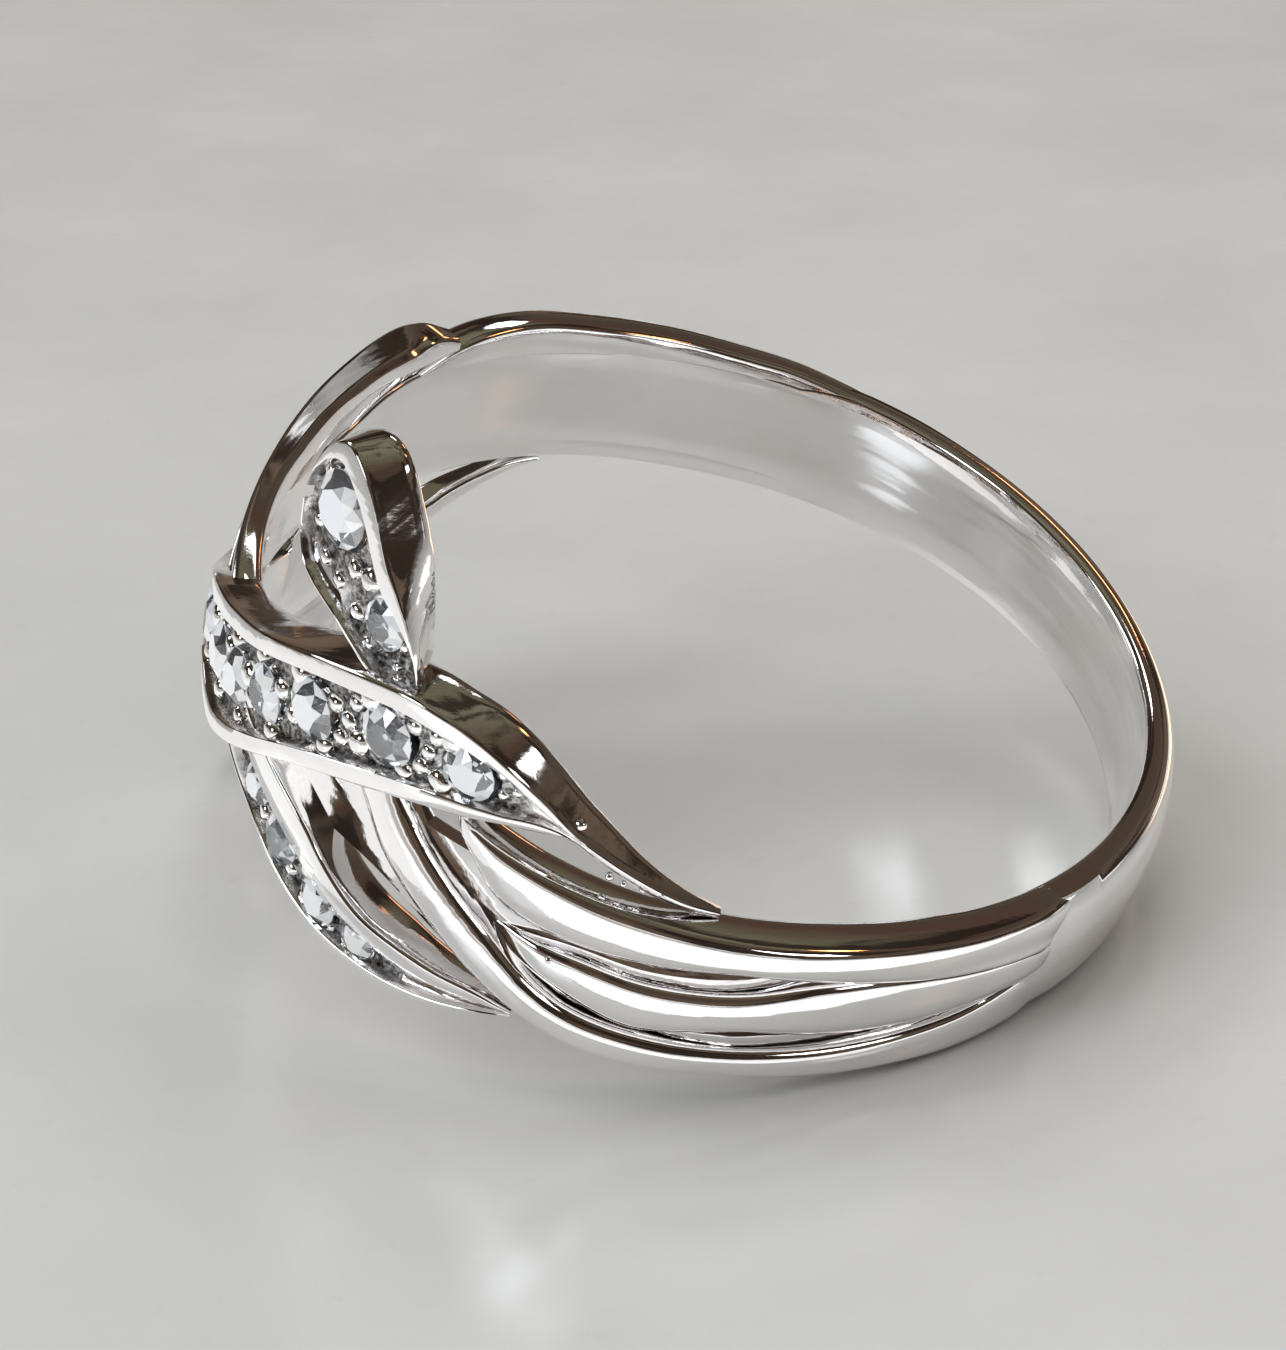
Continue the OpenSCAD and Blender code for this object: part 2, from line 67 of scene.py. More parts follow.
# %% Tables
# columns: angle, low edge, high edge, radius at low edge, at high edge,
# width of low rail, of high rail, spread of low wall, of high wall
OVER_ROWS = [
    [0, -1.12, 1.12, 9.54, 9.54, 0.28, 0.28, 0.10, 0.10],
    [5, -1.10, 1.42, 9.60, 9.52, 0.28, 0.28, 0.10, 0.10],
    [10, -0.92, 1.80, 9.68, 9.54, 0.28, 0.28, 0.10, 0.10],
    [15, -0.50, 2.22, 9.76, 9.62, 0.28, 0.28, 0.10, 0.10],
    [20, 0.03, 2.70, 9.82, 9.74, 0.28, 0.28, 0.10, 0.10],
    [30, 1.10, 3.56, 9.85, 9.80, 0.28, 0.28, 0.10, 0.12],
    [40, 1.83, 4.08, 9.75, 9.70, 0.28, 0.28, 0.10, 0.15],
    [46, 2.13, 4.08, 9.65, 9.60, 0.26, 0.26, 0.10, 0.25],
    [50, 2.28, 3.91, 9.55, 9.50, 0.24, 0.24, 0.10, 0.52],
    [54, 2.45, 3.65, 9.45, 9.45, 0.22, 0.22, 0.10, 0.68],
    [58, 2.60, 3.29, 9.38, 9.38, 0.20, 0.20, 0.10, 0.72],
    [62, 2.66, 2.84, 9.30, 9.30, 0.06, 0.06, 0.10, 0.81],
    [66, 2.33, 2.52, 9.25, 9.20, 0.06, 0.06, 0.10, 0.71],
    [70, 2.03, 2.22, 9.15, 9.10, 0.06, 0.06, 0.10, 0.53],
    [75, 1.73, 1.92, 9.05, 9.00, 0.06, 0.06, 0.10, 0.27],
    [79.5, 1.58, 1.72, 8.90, 8.85, 0.05, 0.05, 0.10, 0.10],
]
# columns: angle, drop of the far half's high edge, inset of its radius
FAR_TRIM = [
    [-80, 0.00, 0.00], [-60, 0.00, 0.02], [-45, 0.05, 0.10], [-30, 0.50, 0.22],
    [-22, 0.80, 0.25], [-16, 0.85, 0.22], [-10, 0.70, 0.15], [-5, 0.35, 0.05],
    [0, 0.00, 0.00],
]
UNDER_ROWS = [
    [-62, 1.55, 1.78, 9.25, 9.20, 0.08, 0.08, 0.10, 0.00],
    [-58, 1.40, 2.05, 9.30, 9.25, 0.12, 0.20, 0.10, -0.30],
    [-54, 1.35, 2.14, 9.38, 9.25, 0.14, 0.30, 0.15, -0.95],
    [-49, 1.30, 2.08, 9.42, 9.20, 0.14, 0.30, 0.15, -1.10],
    [-44, 1.15, 1.96, 9.45, 9.15, 0.14, 0.20, 0.20, -1.25],
    [-38, 0.85, 1.80, 9.45, 9.12, 0.14, 0.20, 0.40, -1.20],
    [-32, 0.30, 1.55, 9.42, 9.12, 0.14, 0.24, 0.40, -1.00],
    [-25, -0.20, 1.35, 9.36, 9.10, 0.14, 0.26, 0.20, -0.70],
    [-15, -0.60, 1.15, 9.25, 9.12, 0.14, 0.26, 0.15, -0.20],
    [-5, -0.90, 1.00, 9.22, 9.20, 0.16, 0.30, 0.15, 0.10],
    [5, -1.15, 0.85, 9.25, 9.32, 0.16, 0.50, 0.15, 0.10],
    [14, -1.42, 0.65, 9.30, 9.50, 0.16, 0.80, 0.15, 0.00],
    [20, -1.62, 0.45, 9.35, 9.60, 0.16, 0.88, 0.15, -0.10],
    [26, -1.98, 0.15, 9.40, 9.62, 0.16, 0.88, 0.15, -0.15],
    [31, -2.26, -0.18, 9.40, 9.62, 0.16, 0.86, 0.15, -0.15],
    [36, -2.42, -0.72, 9.40, 9.60, 0.16, 0.72, 0.15, -0.10],
    [41, -2.46, -1.08, 9.38, 9.60, 0.16, 0.48, 0.15, 0.05],
    [46, -2.42, -1.24, 9.36, 9.55, 0.16, 0.42, 0.15, 0.10],
    [51, -2.26, -1.38, 9.34, 9.45, 0.14, 0.34, 0.15, 0.05],
    [56, -2.02, -1.45, 9.30, 9.35, 0.12, 0.22, 0.15, 0.00],
    [60.5, -1.75, -1.60, 9.22, 9.25, 0.05, 0.05, 0.10, 0.00],
]
# the last column is how far the foot of the wall leads in angle
PETAL_ROWS = [
    [18.2, 5.45, 5.90, 9.45, 9.45, 0.08, 0.12, 0.20, 0.95, -3.2],
    [19.0, 4.90, 6.42, 9.48, 9.45, 0.12, 0.15, 0.20, 0.50, -2.4],
    [21.0, 4.45, 7.02, 9.50, 9.45, 0.12, 0.22, 0.20, 0.25, -1.0],
    [23.5, 4.30, 7.38, 9.52, 9.45, 0.12, 0.32, 0.20, 0.20, 0.0],
    [25.5, 4.26, 7.38, 9.54, 9.46, 0.12, 0.40, 0.20, 0.38, 0.0],
    [28.0, 4.20, 7.16, 9.56, 9.47, 0.12, 0.46, 0.20, 0.72, 0.0],
    [30.0, 4.10, 6.85, 9.57, 9.48, 0.12, 0.48, 0.20, 0.92, -0.1],
    [32.0, 3.98, 6.38, 9.57, 9.49, 0.12, 0.46, 0.20, 1.12, -0.4],
    [34.0, 3.85, 5.95, 9.56, 9.50, 0.12, 0.40, 0.20, 1.20, -0.8],
    [36.0, 3.74, 5.62, 9.54, 9.50, 0.12, 0.30, 0.10, 0.95, -1.2],
    [38.0, 3.66, 5.22, 9.52, 9.50, 0.10, 0.20, 0.10, 0.57, -2.3],
    [40.0, 3.60, 4.70, 9.50, 9.48, 0.08, 0.12, 0.10, 0.28, -3.8],
    [41.0, 3.58, 4.25, 9.48, 9.46, 0.05, 0.05, 0.10, 0.25, -4.8],
]
# columns: angle, low edge, high edge of the lining
LINING_ROWS = [
    [-180, -1.20, 1.20], [-120, -1.20, 1.20], [-80, -1.20, 1.20],
    [-62, -1.20, 1.20], [-55, -1.20, 1.15], [-50, -1.20, 0.96],
    [-44, -1.20, 0.60], [-38, -1.20, 0.40], [-30, -1.20, 0.42],
    [-22, -1.10, 0.66], [-12, -1.00, 0.95], [0, -1.00, 1.00],
    [12, -0.95, 1.00], [22, -0.66, 1.10], [30, -0.42, 1.20],
    [38, -0.40, 1.20], [44, -0.60, 1.20], [50, -0.96, 1.20],
    [55, -1.15, 1.20], [62, -1.20, 1.20], [80, -1.20, 1.20],
    [120, -1.20, 1.20], [180, -1.20, 1.20],
]
# columns: angle, low edge, high edge, radius at low edge, at crest, at high edge
STRAND_TOP = [
    [47.5, 1.95, 2.12, 8.93, 8.98, 8.96], [50, 1.65, 2.05, 9.20, 9.32, 9.30],
    [52, 1.33, 1.95, 9.25, 9.38, 9.33], [55, 0.86, 1.85, 9.28, 9.45, 9.35],
    [59, 0.60, 1.75, 9.30, 9.48, 9.35], [66, 0.50, 1.65, 9.30, 9.52, 9.35],
    [74, 0.60, 1.60, 9.32, 9.55, 9.37], [84, 0.80, 1.58, 9.35, 9.56, 9.38],
    [97, 0.82, 1.60, 9.45, 9.54, 9.38], [112, 0.72, 1.56, 9.52, 9.50, 9.34],
    [126, 0.55, 1.50, 9.46, 9.42, 9.25],
]
STRAND_MID = [
    [54.5, -0.20, 0.08, 8.90, 8.94, 8.92], [61, -0.50, 0.15, 9.20, 9.30, 9.20],
    [66, -0.72, 0.20, 9.28, 9.45, 9.30], [73, -0.97, 0.14, 9.30, 9.52, 9.35],
    [80, -0.75, 0.24, 9.30, 9.56, 9.38], [85, -0.56, 0.40, 9.32, 9.58, 9.40],
    [92, -0.52, 0.72, 9.35, 9.58, 9.44], [99, -0.45, 0.86, 9.36, 9.57, 9.46],
    [112, -0.18, 0.78, 9.40, 9.54, 9.50], [126, 0.15, 0.60, 9.44, 9.47, 9.46],
]
STRAND_LOW = [
    [33, 1.40, 3.20, 9.10, 9.25, 9.10], [37, 0.80, 2.50, 9.10, 9.32, 9.15],
    [41, 0.20, 1.70, 9.15, 9.42, 9.20], [46, -0.30, 1.02, 9.20, 9.48, 9.25],
    [51, -0.75, 0.48, 9.20, 9.52, 9.28], [56, -1.18, -0.02, 9.20, 9.54, 9.30],
    [61, -1.50, -0.56, 9.20, 9.55, 9.32], [67, -1.75, -0.94, 9.18, 9.55, 9.34],
    [75, -1.85, -1.06, 9.16, 9.54, 9.34], [85, -1.72, -0.99, 9.16, 9.53, 9.34],
    [95, -1.62, -0.82, 9.16, 9.52, 9.34], [104, -1.53, -0.62, 9.16, 9.50, 9.34],
    [112, -1.49, -0.40, 9.16, 9.48, 9.36], [119, -1.40, -0.05, 9.15, 9.46, 9.40],
    [126, -1.35, 0.25, 9.12, 9.43, 9.44],
]
BACK_ROWS = [
    [111, -1.14, 1.16, 8.92, 9.10, 8.95], [119, -1.38, 1.46, 9.08, 9.40, 9.14],
    [126, -1.365, 1.47, 9.12, 9.50, 9.22], [134, -1.395, 1.43, 9.11, 9.48, 9.18],
    [140, -1.36, 1.40, 9.10, 9.46, 9.14], [160, -1.27, 1.30, 9.08, 9.43, 9.10],
    [180, -1.25, 1.25, 9.08, 9.42, 9.08], [200, -1.30, 1.27, 9.10, 9.43, 9.08],
    [220, -1.40, 1.32, 9.14, 9.46, 9.10], [234, -1.47, 1.38, 9.22, 9.50, 9.12],
    [241, -1.46, 1.38, 9.14, 9.40, 9.08], [249, -1.16, 1.14, 8.95, 9.10, 8.92],
]
# columns: angle, diameter (and height, on a petal)
OVER_STONES = [[4.3, 1.15], [12.7, 1.15], [20.7, 1.15], [29.1, 1.20], [39.4, 1.15], [49.2, 1.05]]
UNDER_STONES = [[-41, 0.50], [-34.6, 0.62], [-27, 0.70], [-19.5, 0.74],
                [19.8, 0.85], [26.6, 1.00], [34.4, 0.95], [41, 0.70]]
PETAL_STONES = [[24.4, 1.42, 6.02], [34.8, 0.95, 4.78]]
print("rows", len(OVER_ROWS), len(UNDER_ROWS), len(PETAL_ROWS))

# %% [markdown]
# A table has few rows, and the metal between them has to run smoothly. A
# cubic curve through the rows does that: it leaves each row in the direction
# of its two neighbours, as a thin spring would. Straight steps would show as
# flats in mirror-polished metal. The polished rails of a wide ribbon are made
# a little broader here than in the solids, as the photograph shows them.

# %% Read the tables
# the columns of a ribbon's row, after its angle
LOW, HIGH, R_LOW, R_HIGH, RAIL_LOW, RAIL_HIGH, OUT_LOW, OUT_HIGH, LEAD = range(1, 10)
# what a broad rail gains, and the ribbon widths where that starts and is whole
RAIL_MORE, NARROW, WIDE = 0.12, 1.2, 2.0


def column(table, c, a):
    """The value of one column at the angles a, on a curve through the rows."""
    t = np.asarray(table, float)
    a = np.asarray(a, float)
    n = len(t)
    i = np.clip(np.searchsorted(t[:, 0], a, side="right") - 1, 0, n - 2)
    after = np.minimum(np.arange(n) + 1, n - 1)
    before = np.maximum(np.arange(n) - 1, 0)
    rise = (t[after, c] - t[before, c]) / (t[after, 0] - t[before, 0])
    w = t[i + 1, 0] - t[i, 0]
    u = (a - t[i, 0]) / w
    v = 1 - u
    return ((1 + 2 * u) * v * v * t[i, c] + u * v * v * w * rise[i]
            + (3 - 2 * u) * u * u * t[i + 1, c] - u * u * v * w * rise[i + 1])


def rows_at(table, a):
    a = np.asarray(a, float)
    return np.stack([a] + [column(table, c, a) for c in range(1, len(table[0]))], -1)


def rail_more(r):
    return RAIL_MORE * np.clip((r[:, HIGH] - r[:, LOW] - NARROW) / (WIDE - NARROW), 0, 1)


def over_at(a):
    a = np.atleast_1d(np.asarray(a, float))
    r = rows_at(OVER_ROWS, np.abs(a))
    r[:, 0] = a
    far = a < 0
    # the far half is the near one turned over, so low and high change places
    r[far] = r[far][:, [0, 2, 1, 4, 3, 6, 5, 8, 7]] * [1, -1, -1, 1, 1, 1, 1, 1, 1]
    drop, inset = column(FAR_TRIM, 1, a[far]), column(FAR_TRIM, 2, a[far])
    r[far, HIGH] -= drop
    r[far, R_LOW] -= inset
    r[far, R_HIGH] -= inset
    more = rail_more(r)
    r[:, RAIL_LOW] += more
    r[:, RAIL_HIGH] += more
    return r


def under_at(a):
    return rows_at(UNDER_ROWS, np.atleast_1d(a))


def petal_at(a):
    r = rows_at(PETAL_ROWS, np.atleast_1d(a))
    r[:, RAIL_HIGH] += rail_more(r)
    return r


def top_radius(r, z):
    """Radius of a ribbon's top at the height z, for one row or for many."""
    across = r[..., R_HIGH] - r[..., R_LOW]
    return r[..., R_LOW] + across * (z - r[..., LOW]) / (r[..., HIGH] - r[..., LOW])


print("over ribbon at 20 degrees", over_at(20)[0].round(2))

# %% [markdown]
# Where each stone sits is worked out once, from the ribbon under it: the
# middle of its bed, a little below the rails. The seats, the stones and the
# grains all use this list, so they can't drift apart.

# %% Seats
def seat_list(at, stones):
    """Angle, height, radius and diameter of each seat."""
    out = []
    for stone in stones:
        r = at(stone[0])[0]
        middle = (r[LOW] + r[RAIL_LOW] + r[HIGH] - r[RAIL_HIGH]) / 2
        z = stone[2] if len(stone) > 2 else middle
        out.append((stone[0], z, top_radius(r, z) - BED, stone[1]))
    return out


over_all = [[-a, d] for a, d in reversed(OVER_STONES)] + OVER_STONES
OVER_SEATS = seat_list(over_at, over_all)
UNDER_SEATS = seat_list(under_at, UNDER_STONES)
PETAL_SEATS = seat_list(petal_at, PETAL_STONES)
print("seats", len(OVER_SEATS), len(UNDER_SEATS), len(PETAL_SEATS))


# %% [markdown]
# A loft is a row of cross-sections joined into a skin. Each section is a ring
# of points in a plane that holds the finger axis. Here the points come as one
# array of angle, radius and height, and the skin is made of four-sided faces
# with a cap at both ends. An extra value for each point says how rough and
# dark the metal is there, from 0 on a polished rail to 1 in a set bed.

# %% Loft
def on_ring(a, r, z):
    t = np.radians(a)
    return np.stack([-r * np.cos(t), -r * np.sin(t), z], -1)


def skin(grid, rough, closed=False):
    """Points and faces from an array of sections; rough is the same array's bed value."""
    n, m = grid.shape[:2]
    i, j = np.meshgrid(np.arange(n if closed else n - 1), np.arange(m), indexing="ij")
    i2, j2 = (i + 1) % n, (j + 1) % m
    quads = np.stack([i * m + j, i * m + j2, i2 * m + j2, i2 * m + j], -1).reshape(-1, 4)
    faces = [tuple(int(v) for v in q) for q in quads]
    if not closed:
        faces.append(tuple(range(m - 1, -1, -1)))
        faces.append(tuple((n - 1) * m + k for k in range(m)))
    return grid.reshape(-1, 3), faces, rough.reshape(-1)


class Casting:
    """Collects the skins that make up the one cast piece."""
    def __init__(self):
        self.points, self.faces, self.rough, self.count = [], [], [], 0

    def add(self, part, turn=None):
        points, faces, rough = part
        if turn is not None:
            points = points @ turn.T
        self.points.append(points)
        self.faces += [tuple(k + self.count for k in q) for q in faces]
        self.rough.append(rough)
        self.count += len(points)


def turn_about(axis, degrees):
    return np.array(Matrix.Rotation(math.radians(degrees), 3, axis))


HALF_TURN = turn_about("X", 180)
print("half turn", HALF_TURN.round(2).tolist())


# %% [markdown]
# A strand of the shank has a rounded, polished crown. Its profile goes up
# one wall, over the crown and down the other wall, with a small round at the
# inside edge, which is filed so that it doesn't bite the finger. A strand
# that runs out dips under the plain back at its end.

# %% Strands
CROWN_STEPS = 15
# a strand's columns after its two edges: radius at low edge, crest, high edge
S_LOW, S_CREST, S_HIGH = 3, 4, 5
# the round of a foot: its size, where it starts, its middle, and its pull in
FOOT_ROUND = 0.07
FOOT_TOP, FOOT_MID, FOOT_IN = 2.2 * FOOT_ROUND, 0.6 * FOOT_ROUND, 0.25 * FOOT_ROUND
# the crown's last fall to its wall, and the part of the way where it starts
EDGE_FALL, EDGE_FROM = 0.06, 0.86
# a sinking strand's foot rises by this, from this angle on, over this many degrees
FOOT_LIFT, LIFT_FROM, LIFT_OVER = 0.03, 107, 4
# over its last degrees its top dips and its two edges draw in
END_OVER, END_DIP, END_LOW, END_HIGH = 7, 0.16, 0.09, 0.07


def foot(a, r_wall, z, side, inner):
    """From the wall down to the inside edge: three points that round it."""
    return [(a, np.minimum(inner + FOOT_TOP, r_wall), z),
            (a, inner + FOOT_MID, z - side * FOOT_IN),
            (a, inner, z - side * FOOT_ROUND)]


def strand_grid(rows, step=1.0, sink=False):
    a = np.arange(rows[0][0], rows[-1][0] + step / 2, step)
    a[-1] = rows[-1][0]
    r = rows_at(rows, a)
    inner = INNER_R + 0 * a
    if sink:
        inner = inner + FOOT_LIFT * np.clip((a - LIFT_FROM) / LIFT_OVER, 0, 1)
        end = np.clip((a - (rows[-1][0] - END_OVER)) / END_OVER, 0, 1) ** 2
        r[:, S_LOW:S_HIGH + 1] -= END_DIP * end[:, None]
        r[:, LOW] += END_LOW * end
        r[:, HIGH] -= END_HIGH * end
    crown = []
    for u in np.linspace(0, 1, CROWN_STEPS):
        k = abs(2 * u - 1)
        edge = r[:, S_LOW] if u < 0.5 else r[:, S_HIGH]
        top = r[:, S_CREST] + (edge - r[:, S_CREST]) * k ** 3
        fall = EDGE_FALL * max(0.0, k - EDGE_FROM) ** 2 / (1 - EDGE_FROM) ** 2
        crown.append((a, top - fall, r[:, LOW] + u * (r[:, HIGH] - r[:, LOW])))
    low = foot(a, r[:, S_LOW] - EDGE_FALL, r[:, LOW], -1, inner)
    high = foot(a, r[:, S_HIGH] - EDGE_FALL, r[:, HIGH], 1, inner)
    grid = np.stack([on_ring(*p) for p in low[::-1] + crown + high], 1)
    return skin(grid, np.zeros(grid.shape[:2]))


print("points of the top strand", len(strand_grid(STRAND_TOP)[0]))


# %% [markdown]
# A set ribbon is a shallow channel. Two polished rails stand on either side
# of a bed that is cut a little lower, and each stone sits in a round seat
# drilled in the bed. The bed is made on a fine grid, and each point of it is
# lowered by its distance to the nearest seat: a steep wall at the stone's
# edge, then a cone for its point. A collar of metal is pushed up round it.
# Cutting the seats as booleans would be slower and leave long thin faces.

# %% Bed and seats
# half a stone with its room, the rim round that, and the width of the steep wall
STONE_HALF, RIM, SEAT_WALL = 0.51, 0.03, 0.05
# depth at a seat's edge, slope of its cone, and its most depth for a stone 1 across
SEAT_EDGE, CONE_SLOPE, SEAT_MOST = 0.08, 0.75, 0.36
# the collar round a seat: how far out, how wide, how high
COLLAR_OUT, COLLAR_WIDE, COLLAR_UP = 0.07, 0.05, 0.05
# the bed's extra depth between seats, and the distance over which it is reached
BETWEEN, BETWEEN_OVER = 0.07, 0.15
# the rough skin starts just inside a seat's edge and fades in this width
SKIN_IN, SKIN_OVER = 0.02, 0.06
# beyond the last stone the bed turns smooth, down to this much roughness
TIP_FROM, TIP_OVER, TIP_ROUGH = 0.45, 0.25, 0.12
NO_SEAT_NEAR = 9.0


def bed_depth(a, z, seats, deep):
    """How far each bed point lies below the rails, and how rough it is."""
    depth = deep
    clear = np.full_like(a, NO_SEAT_NEAR)
    for seat_a, seat_z, seat_r, d in seats:
        rho = np.hypot(np.radians(a - seat_a) * seat_r, z - seat_z)
        reach = STONE_HALF * d + RIM
        clear = np.minimum(clear, rho - reach)
        wall = np.clip((reach + SEAT_WALL - rho) / SEAT_WALL, 0, 1)
        cone = SEAT_EDGE + CONE_SLOPE * np.clip(reach - rho, 0, None)
        depth = np.maximum(depth, deep + wall * np.minimum(cone, SEAT_MOST * d))
        collar = np.exp(-((rho - reach - COLLAR_OUT) / COLLAR_WIDE) ** 2)
        depth = depth - COLLAR_UP * collar * (rho > reach)
    # bright inside the seats and in the smooth cut at the ribbon's tip
    smooth_tip = np.clip(1.0 - (clear - TIP_FROM) / TIP_OVER, TIP_ROUGH, 1)
    rough = np.clip((clear + SKIN_IN) / SKIN_OVER, 0, 1) * smooth_tip
    return depth + BETWEEN * rough * np.clip(clear / BETWEEN_OVER, 0, 1), rough


print("seat of a stone 1 mm across reaches", STONE_HALF + RIM, "mm from its middle")

# %% [markdown]
# The profile of a ribbon goes round it once: up the low wall, over the low
# rail, across the bed, over the high rail and down the high wall. The rails
# are alike, so one function makes both, and another makes both walls. A rail
# has a rounded edge, a top that is not quite flat, and a bright narrow cut
# beside the bed, where the graver ran along it.

# %% Ribbon profile
WALL_STEPS, BED_STEPS = 6, 26
# the tables tell a wall's spread at this radius, a little inside the finger hole
ROOT_R = BORE_R - 0.35
WALL_ROUGH, CUT_ROUGH = 0.05, 0.1
# the rise of a rail's middle, and the width and depth of the cut by the bed
RAIL_CROWN, CUT_WIDE, CUT_DEEP = 0.008, 0.015, 0.02
# the gap between cut and bed, and the ribbon width where the bed has its depth
BED_GAP, FULL_BED = 0.05, 0.9
# where the points of a rail's rounded edge lie, and its most share of a ribbon
ROUND_STEPS, SOFT_SHARE = (0.3, 0.65, 1.0), 0.2


def ribbon_grid(at, first, last, step, seats):
    a = np.linspace(first, last, int(round((last - first) / step)) + 1)
    r = at(a)
    width = r[:, HIGH] - r[:, LOW]
    lead = r[:, LEAD] if r.shape[1] > LEAD else np.zeros(len(a))
    low_bed, high_bed = r[:, LOW] + r[:, RAIL_LOW], r[:, HIGH] - r[:, RAIL_HIGH]

    def wall(side):
        edge, top, out = (LOW, R_LOW, OUT_LOW) if side < 0 else (HIGH, R_HIGH, OUT_HIGH)
        top_r = r[:, top] - SOFT
        points = []
        for k in np.linspace(0, 1, WALL_STEPS):
            rad = (INNER_R + FOOT_TOP) * (1 - k) + top_r * k
            t = (top_r - rad) / (top_r - ROOT_R)
            points.append((a + lead * t, rad, r[:, edge] + side * r[:, out] * t, WALL_ROUGH))
        foot_a, foot_z = points[0][0], points[0][2]
        return [(foot_a, INNER_R + 0 * a, foot_z - side * FOOT_ROUND, 0.0),
                (foot_a, INNER_R + FOOT_MID + 0 * a, foot_z - side * FOOT_IN, 0.0)] + points

    def rail(side):
        edge, rail_width, inner = (LOW, RAIL_LOW, low_bed) if side < 0 else (HIGH, RAIL_HIGH, high_bed)
        soft = np.minimum(np.minimum(SOFT, SOFT_SHARE * width), r[:, rail_width] / 2)
        points = []
        for k in ROUND_STEPS:
            z = r[:, edge] - side * soft * k
            points.append((a, top_radius(r, z) - SOFT * (1 - math.sqrt(1 - (1 - k) ** 2)), z, 0.0))
        middle = (r[:, edge] - side * soft + inner) / 2
        cut = inner + side * CUT_WIDE
        points.append((a, top_radius(r, middle) + RAIL_CROWN, middle, 0.0))
        points.append((a, top_radius(r, cut), cut, 0.0))
        points.append((a, top_radius(r, inner) - CUT_DEEP, inner, CUT_ROUGH))
        return points

    bed = []
    deep = BED * np.minimum(1, width / FULL_BED)
    gap = BED_GAP * np.minimum(1, width)
    for k in np.linspace(0, 1, BED_STEPS):
        z = low_bed + gap + (high_bed - low_bed - 2 * gap) * k
        depth, rough = bed_depth(a, z, seats, deep)
        bed.append((a, top_radius(r, z) - depth, z, rough))
    profile = wall(-1) + rail(-1) + bed + rail(1)[::-1] + wall(1)[::-1]
    grid = np.stack([on_ring(*p[:3]) for p in profile], 1)
    rough = np.stack([np.broadcast_to(p[3], a.shape) for p in profile], 1)
    return skin(grid, rough)


print("points across a bed", BED_STEPS)


# %% [markdown]
# The lining is the smooth sleeve that touches the finger. Its two edges
# wander at the head, where the ribbons stand clear of it. They are rounded
# like the feet of the strands.

# %% Lining
EDGE_IN = 0.02


def lining_grid(step=1.0):
    a = np.arange(-180, 180, step)
    r = rows_at(LINING_ROWS, a)
    low, high, e = r[:, LOW], r[:, HIGH], FOOT_ROUND
    bore, back = BORE_R + 0 * a, BORE_R + LINING + 0 * a
    ring = [(bore, low + e), (bore + EDGE_IN, low + FOOT_IN), (bore + e, low), (back, low),
            (back, high), (bore + e, high), (bore + EDGE_IN, high - FOOT_IN), (bore, high - e)]
    inner = [(bore, high - e + (low - high + 2 * e) * k) for k in (0.25, 0.5, 0.75)]
    grid = np.stack([on_ring(a, *p) for p in ring + inner], 1)
    return skin(grid, np.zeros(grid.shape[:2]), closed=True)


print("points of the lining", len(lining_grid()[0]))

# %% [markdown]
# Now the skins are put together as one object. The near strands and the near
# petal are made once, and turned half round the head for the far side, which
# is how such a ring is usually designed. The skins overlap inside the metal,
# where nobody looks, so no boolean is needed to join them.

# %% Casting
# degrees between two sections of a ribbon, of a petal and of the plain back
RIBBON_STEP, PETAL_STEP, BACK_STEP = 0.36, 0.24, 1.5
over_end = OVER_ROWS[-1][0]
casting = Casting()
casting.add(lining_grid())
casting.add(ribbon_grid(over_at, -over_end, over_end, RIBBON_STEP, OVER_SEATS))
casting.add(ribbon_grid(under_at, UNDER_ROWS[0][0], UNDER_ROWS[-1][0], RIBBON_STEP, UNDER_SEATS))
near_petal = ribbon_grid(petal_at, PETAL_ROWS[0][0], PETAL_ROWS[-1][0], PETAL_STEP, PETAL_SEATS)
casting.add(near_petal)
FAR_PETAL = turn_about("Z", PETAL_SHIFT) @ HALF_TURN
casting.add((near_petal[0] @ FAR_PETAL.T + [0, 0, PETAL_RISE], near_petal[1], near_petal[2]))
for rows in (STRAND_TOP, STRAND_MID, STRAND_LOW):
    strand = strand_grid(rows, sink=True)
    casting.add(strand)
    casting.add(strand, HALF_TURN)
casting.add(strand_grid(BACK_ROWS, BACK_STEP))
print("casting points", casting.count, "faces", len(casting.faces))

# %% [markdown]
# The ring doesn't lie flat. It rests on the far petal and on the edge of the
# shank opposite, so it leans by about twenty degrees. Everything is made
# upright round the finger axis and laid down by one matrix at the end. Two
# attributes go with the mesh: how rough the metal is, and the way the
# polishing wheel ran, which is round the ring and lightly across it.

# %% Lay the ring down
# how fast the wheel's waves change round the ring, and outwards against height
WAVES_ROUND, WAVES_OUT = 1.3, 0.8
SHARP_FROM = 50
lean_axis = Vector((-math.sin(math.radians(REST_DIR)), math.cos(math.radians(REST_DIR)), 0))
LEAN = np.array(Matrix.Rotation(math.radians(REST_LEAN), 3, lean_axis))


def laid(v):
    return (np.asarray(v) @ LEAN.T + [0, 0, REST_LIFT]) * MM


def outward_faces(mesh):
    """Turns the faces outwards where the skin came out inside out."""
    import bmesh
    b = bmesh.new()
    b.from_mesh(mesh)
    bmesh.ops.recalc_face_normals(b, faces=b.faces)
    b.to_mesh(mesh)
    b.free()


def new_object(name, mesh):
    ob = bpy.data.objects.new(name, mesh)
    bpy.context.scene.collection.objects.link(ob)
    return ob


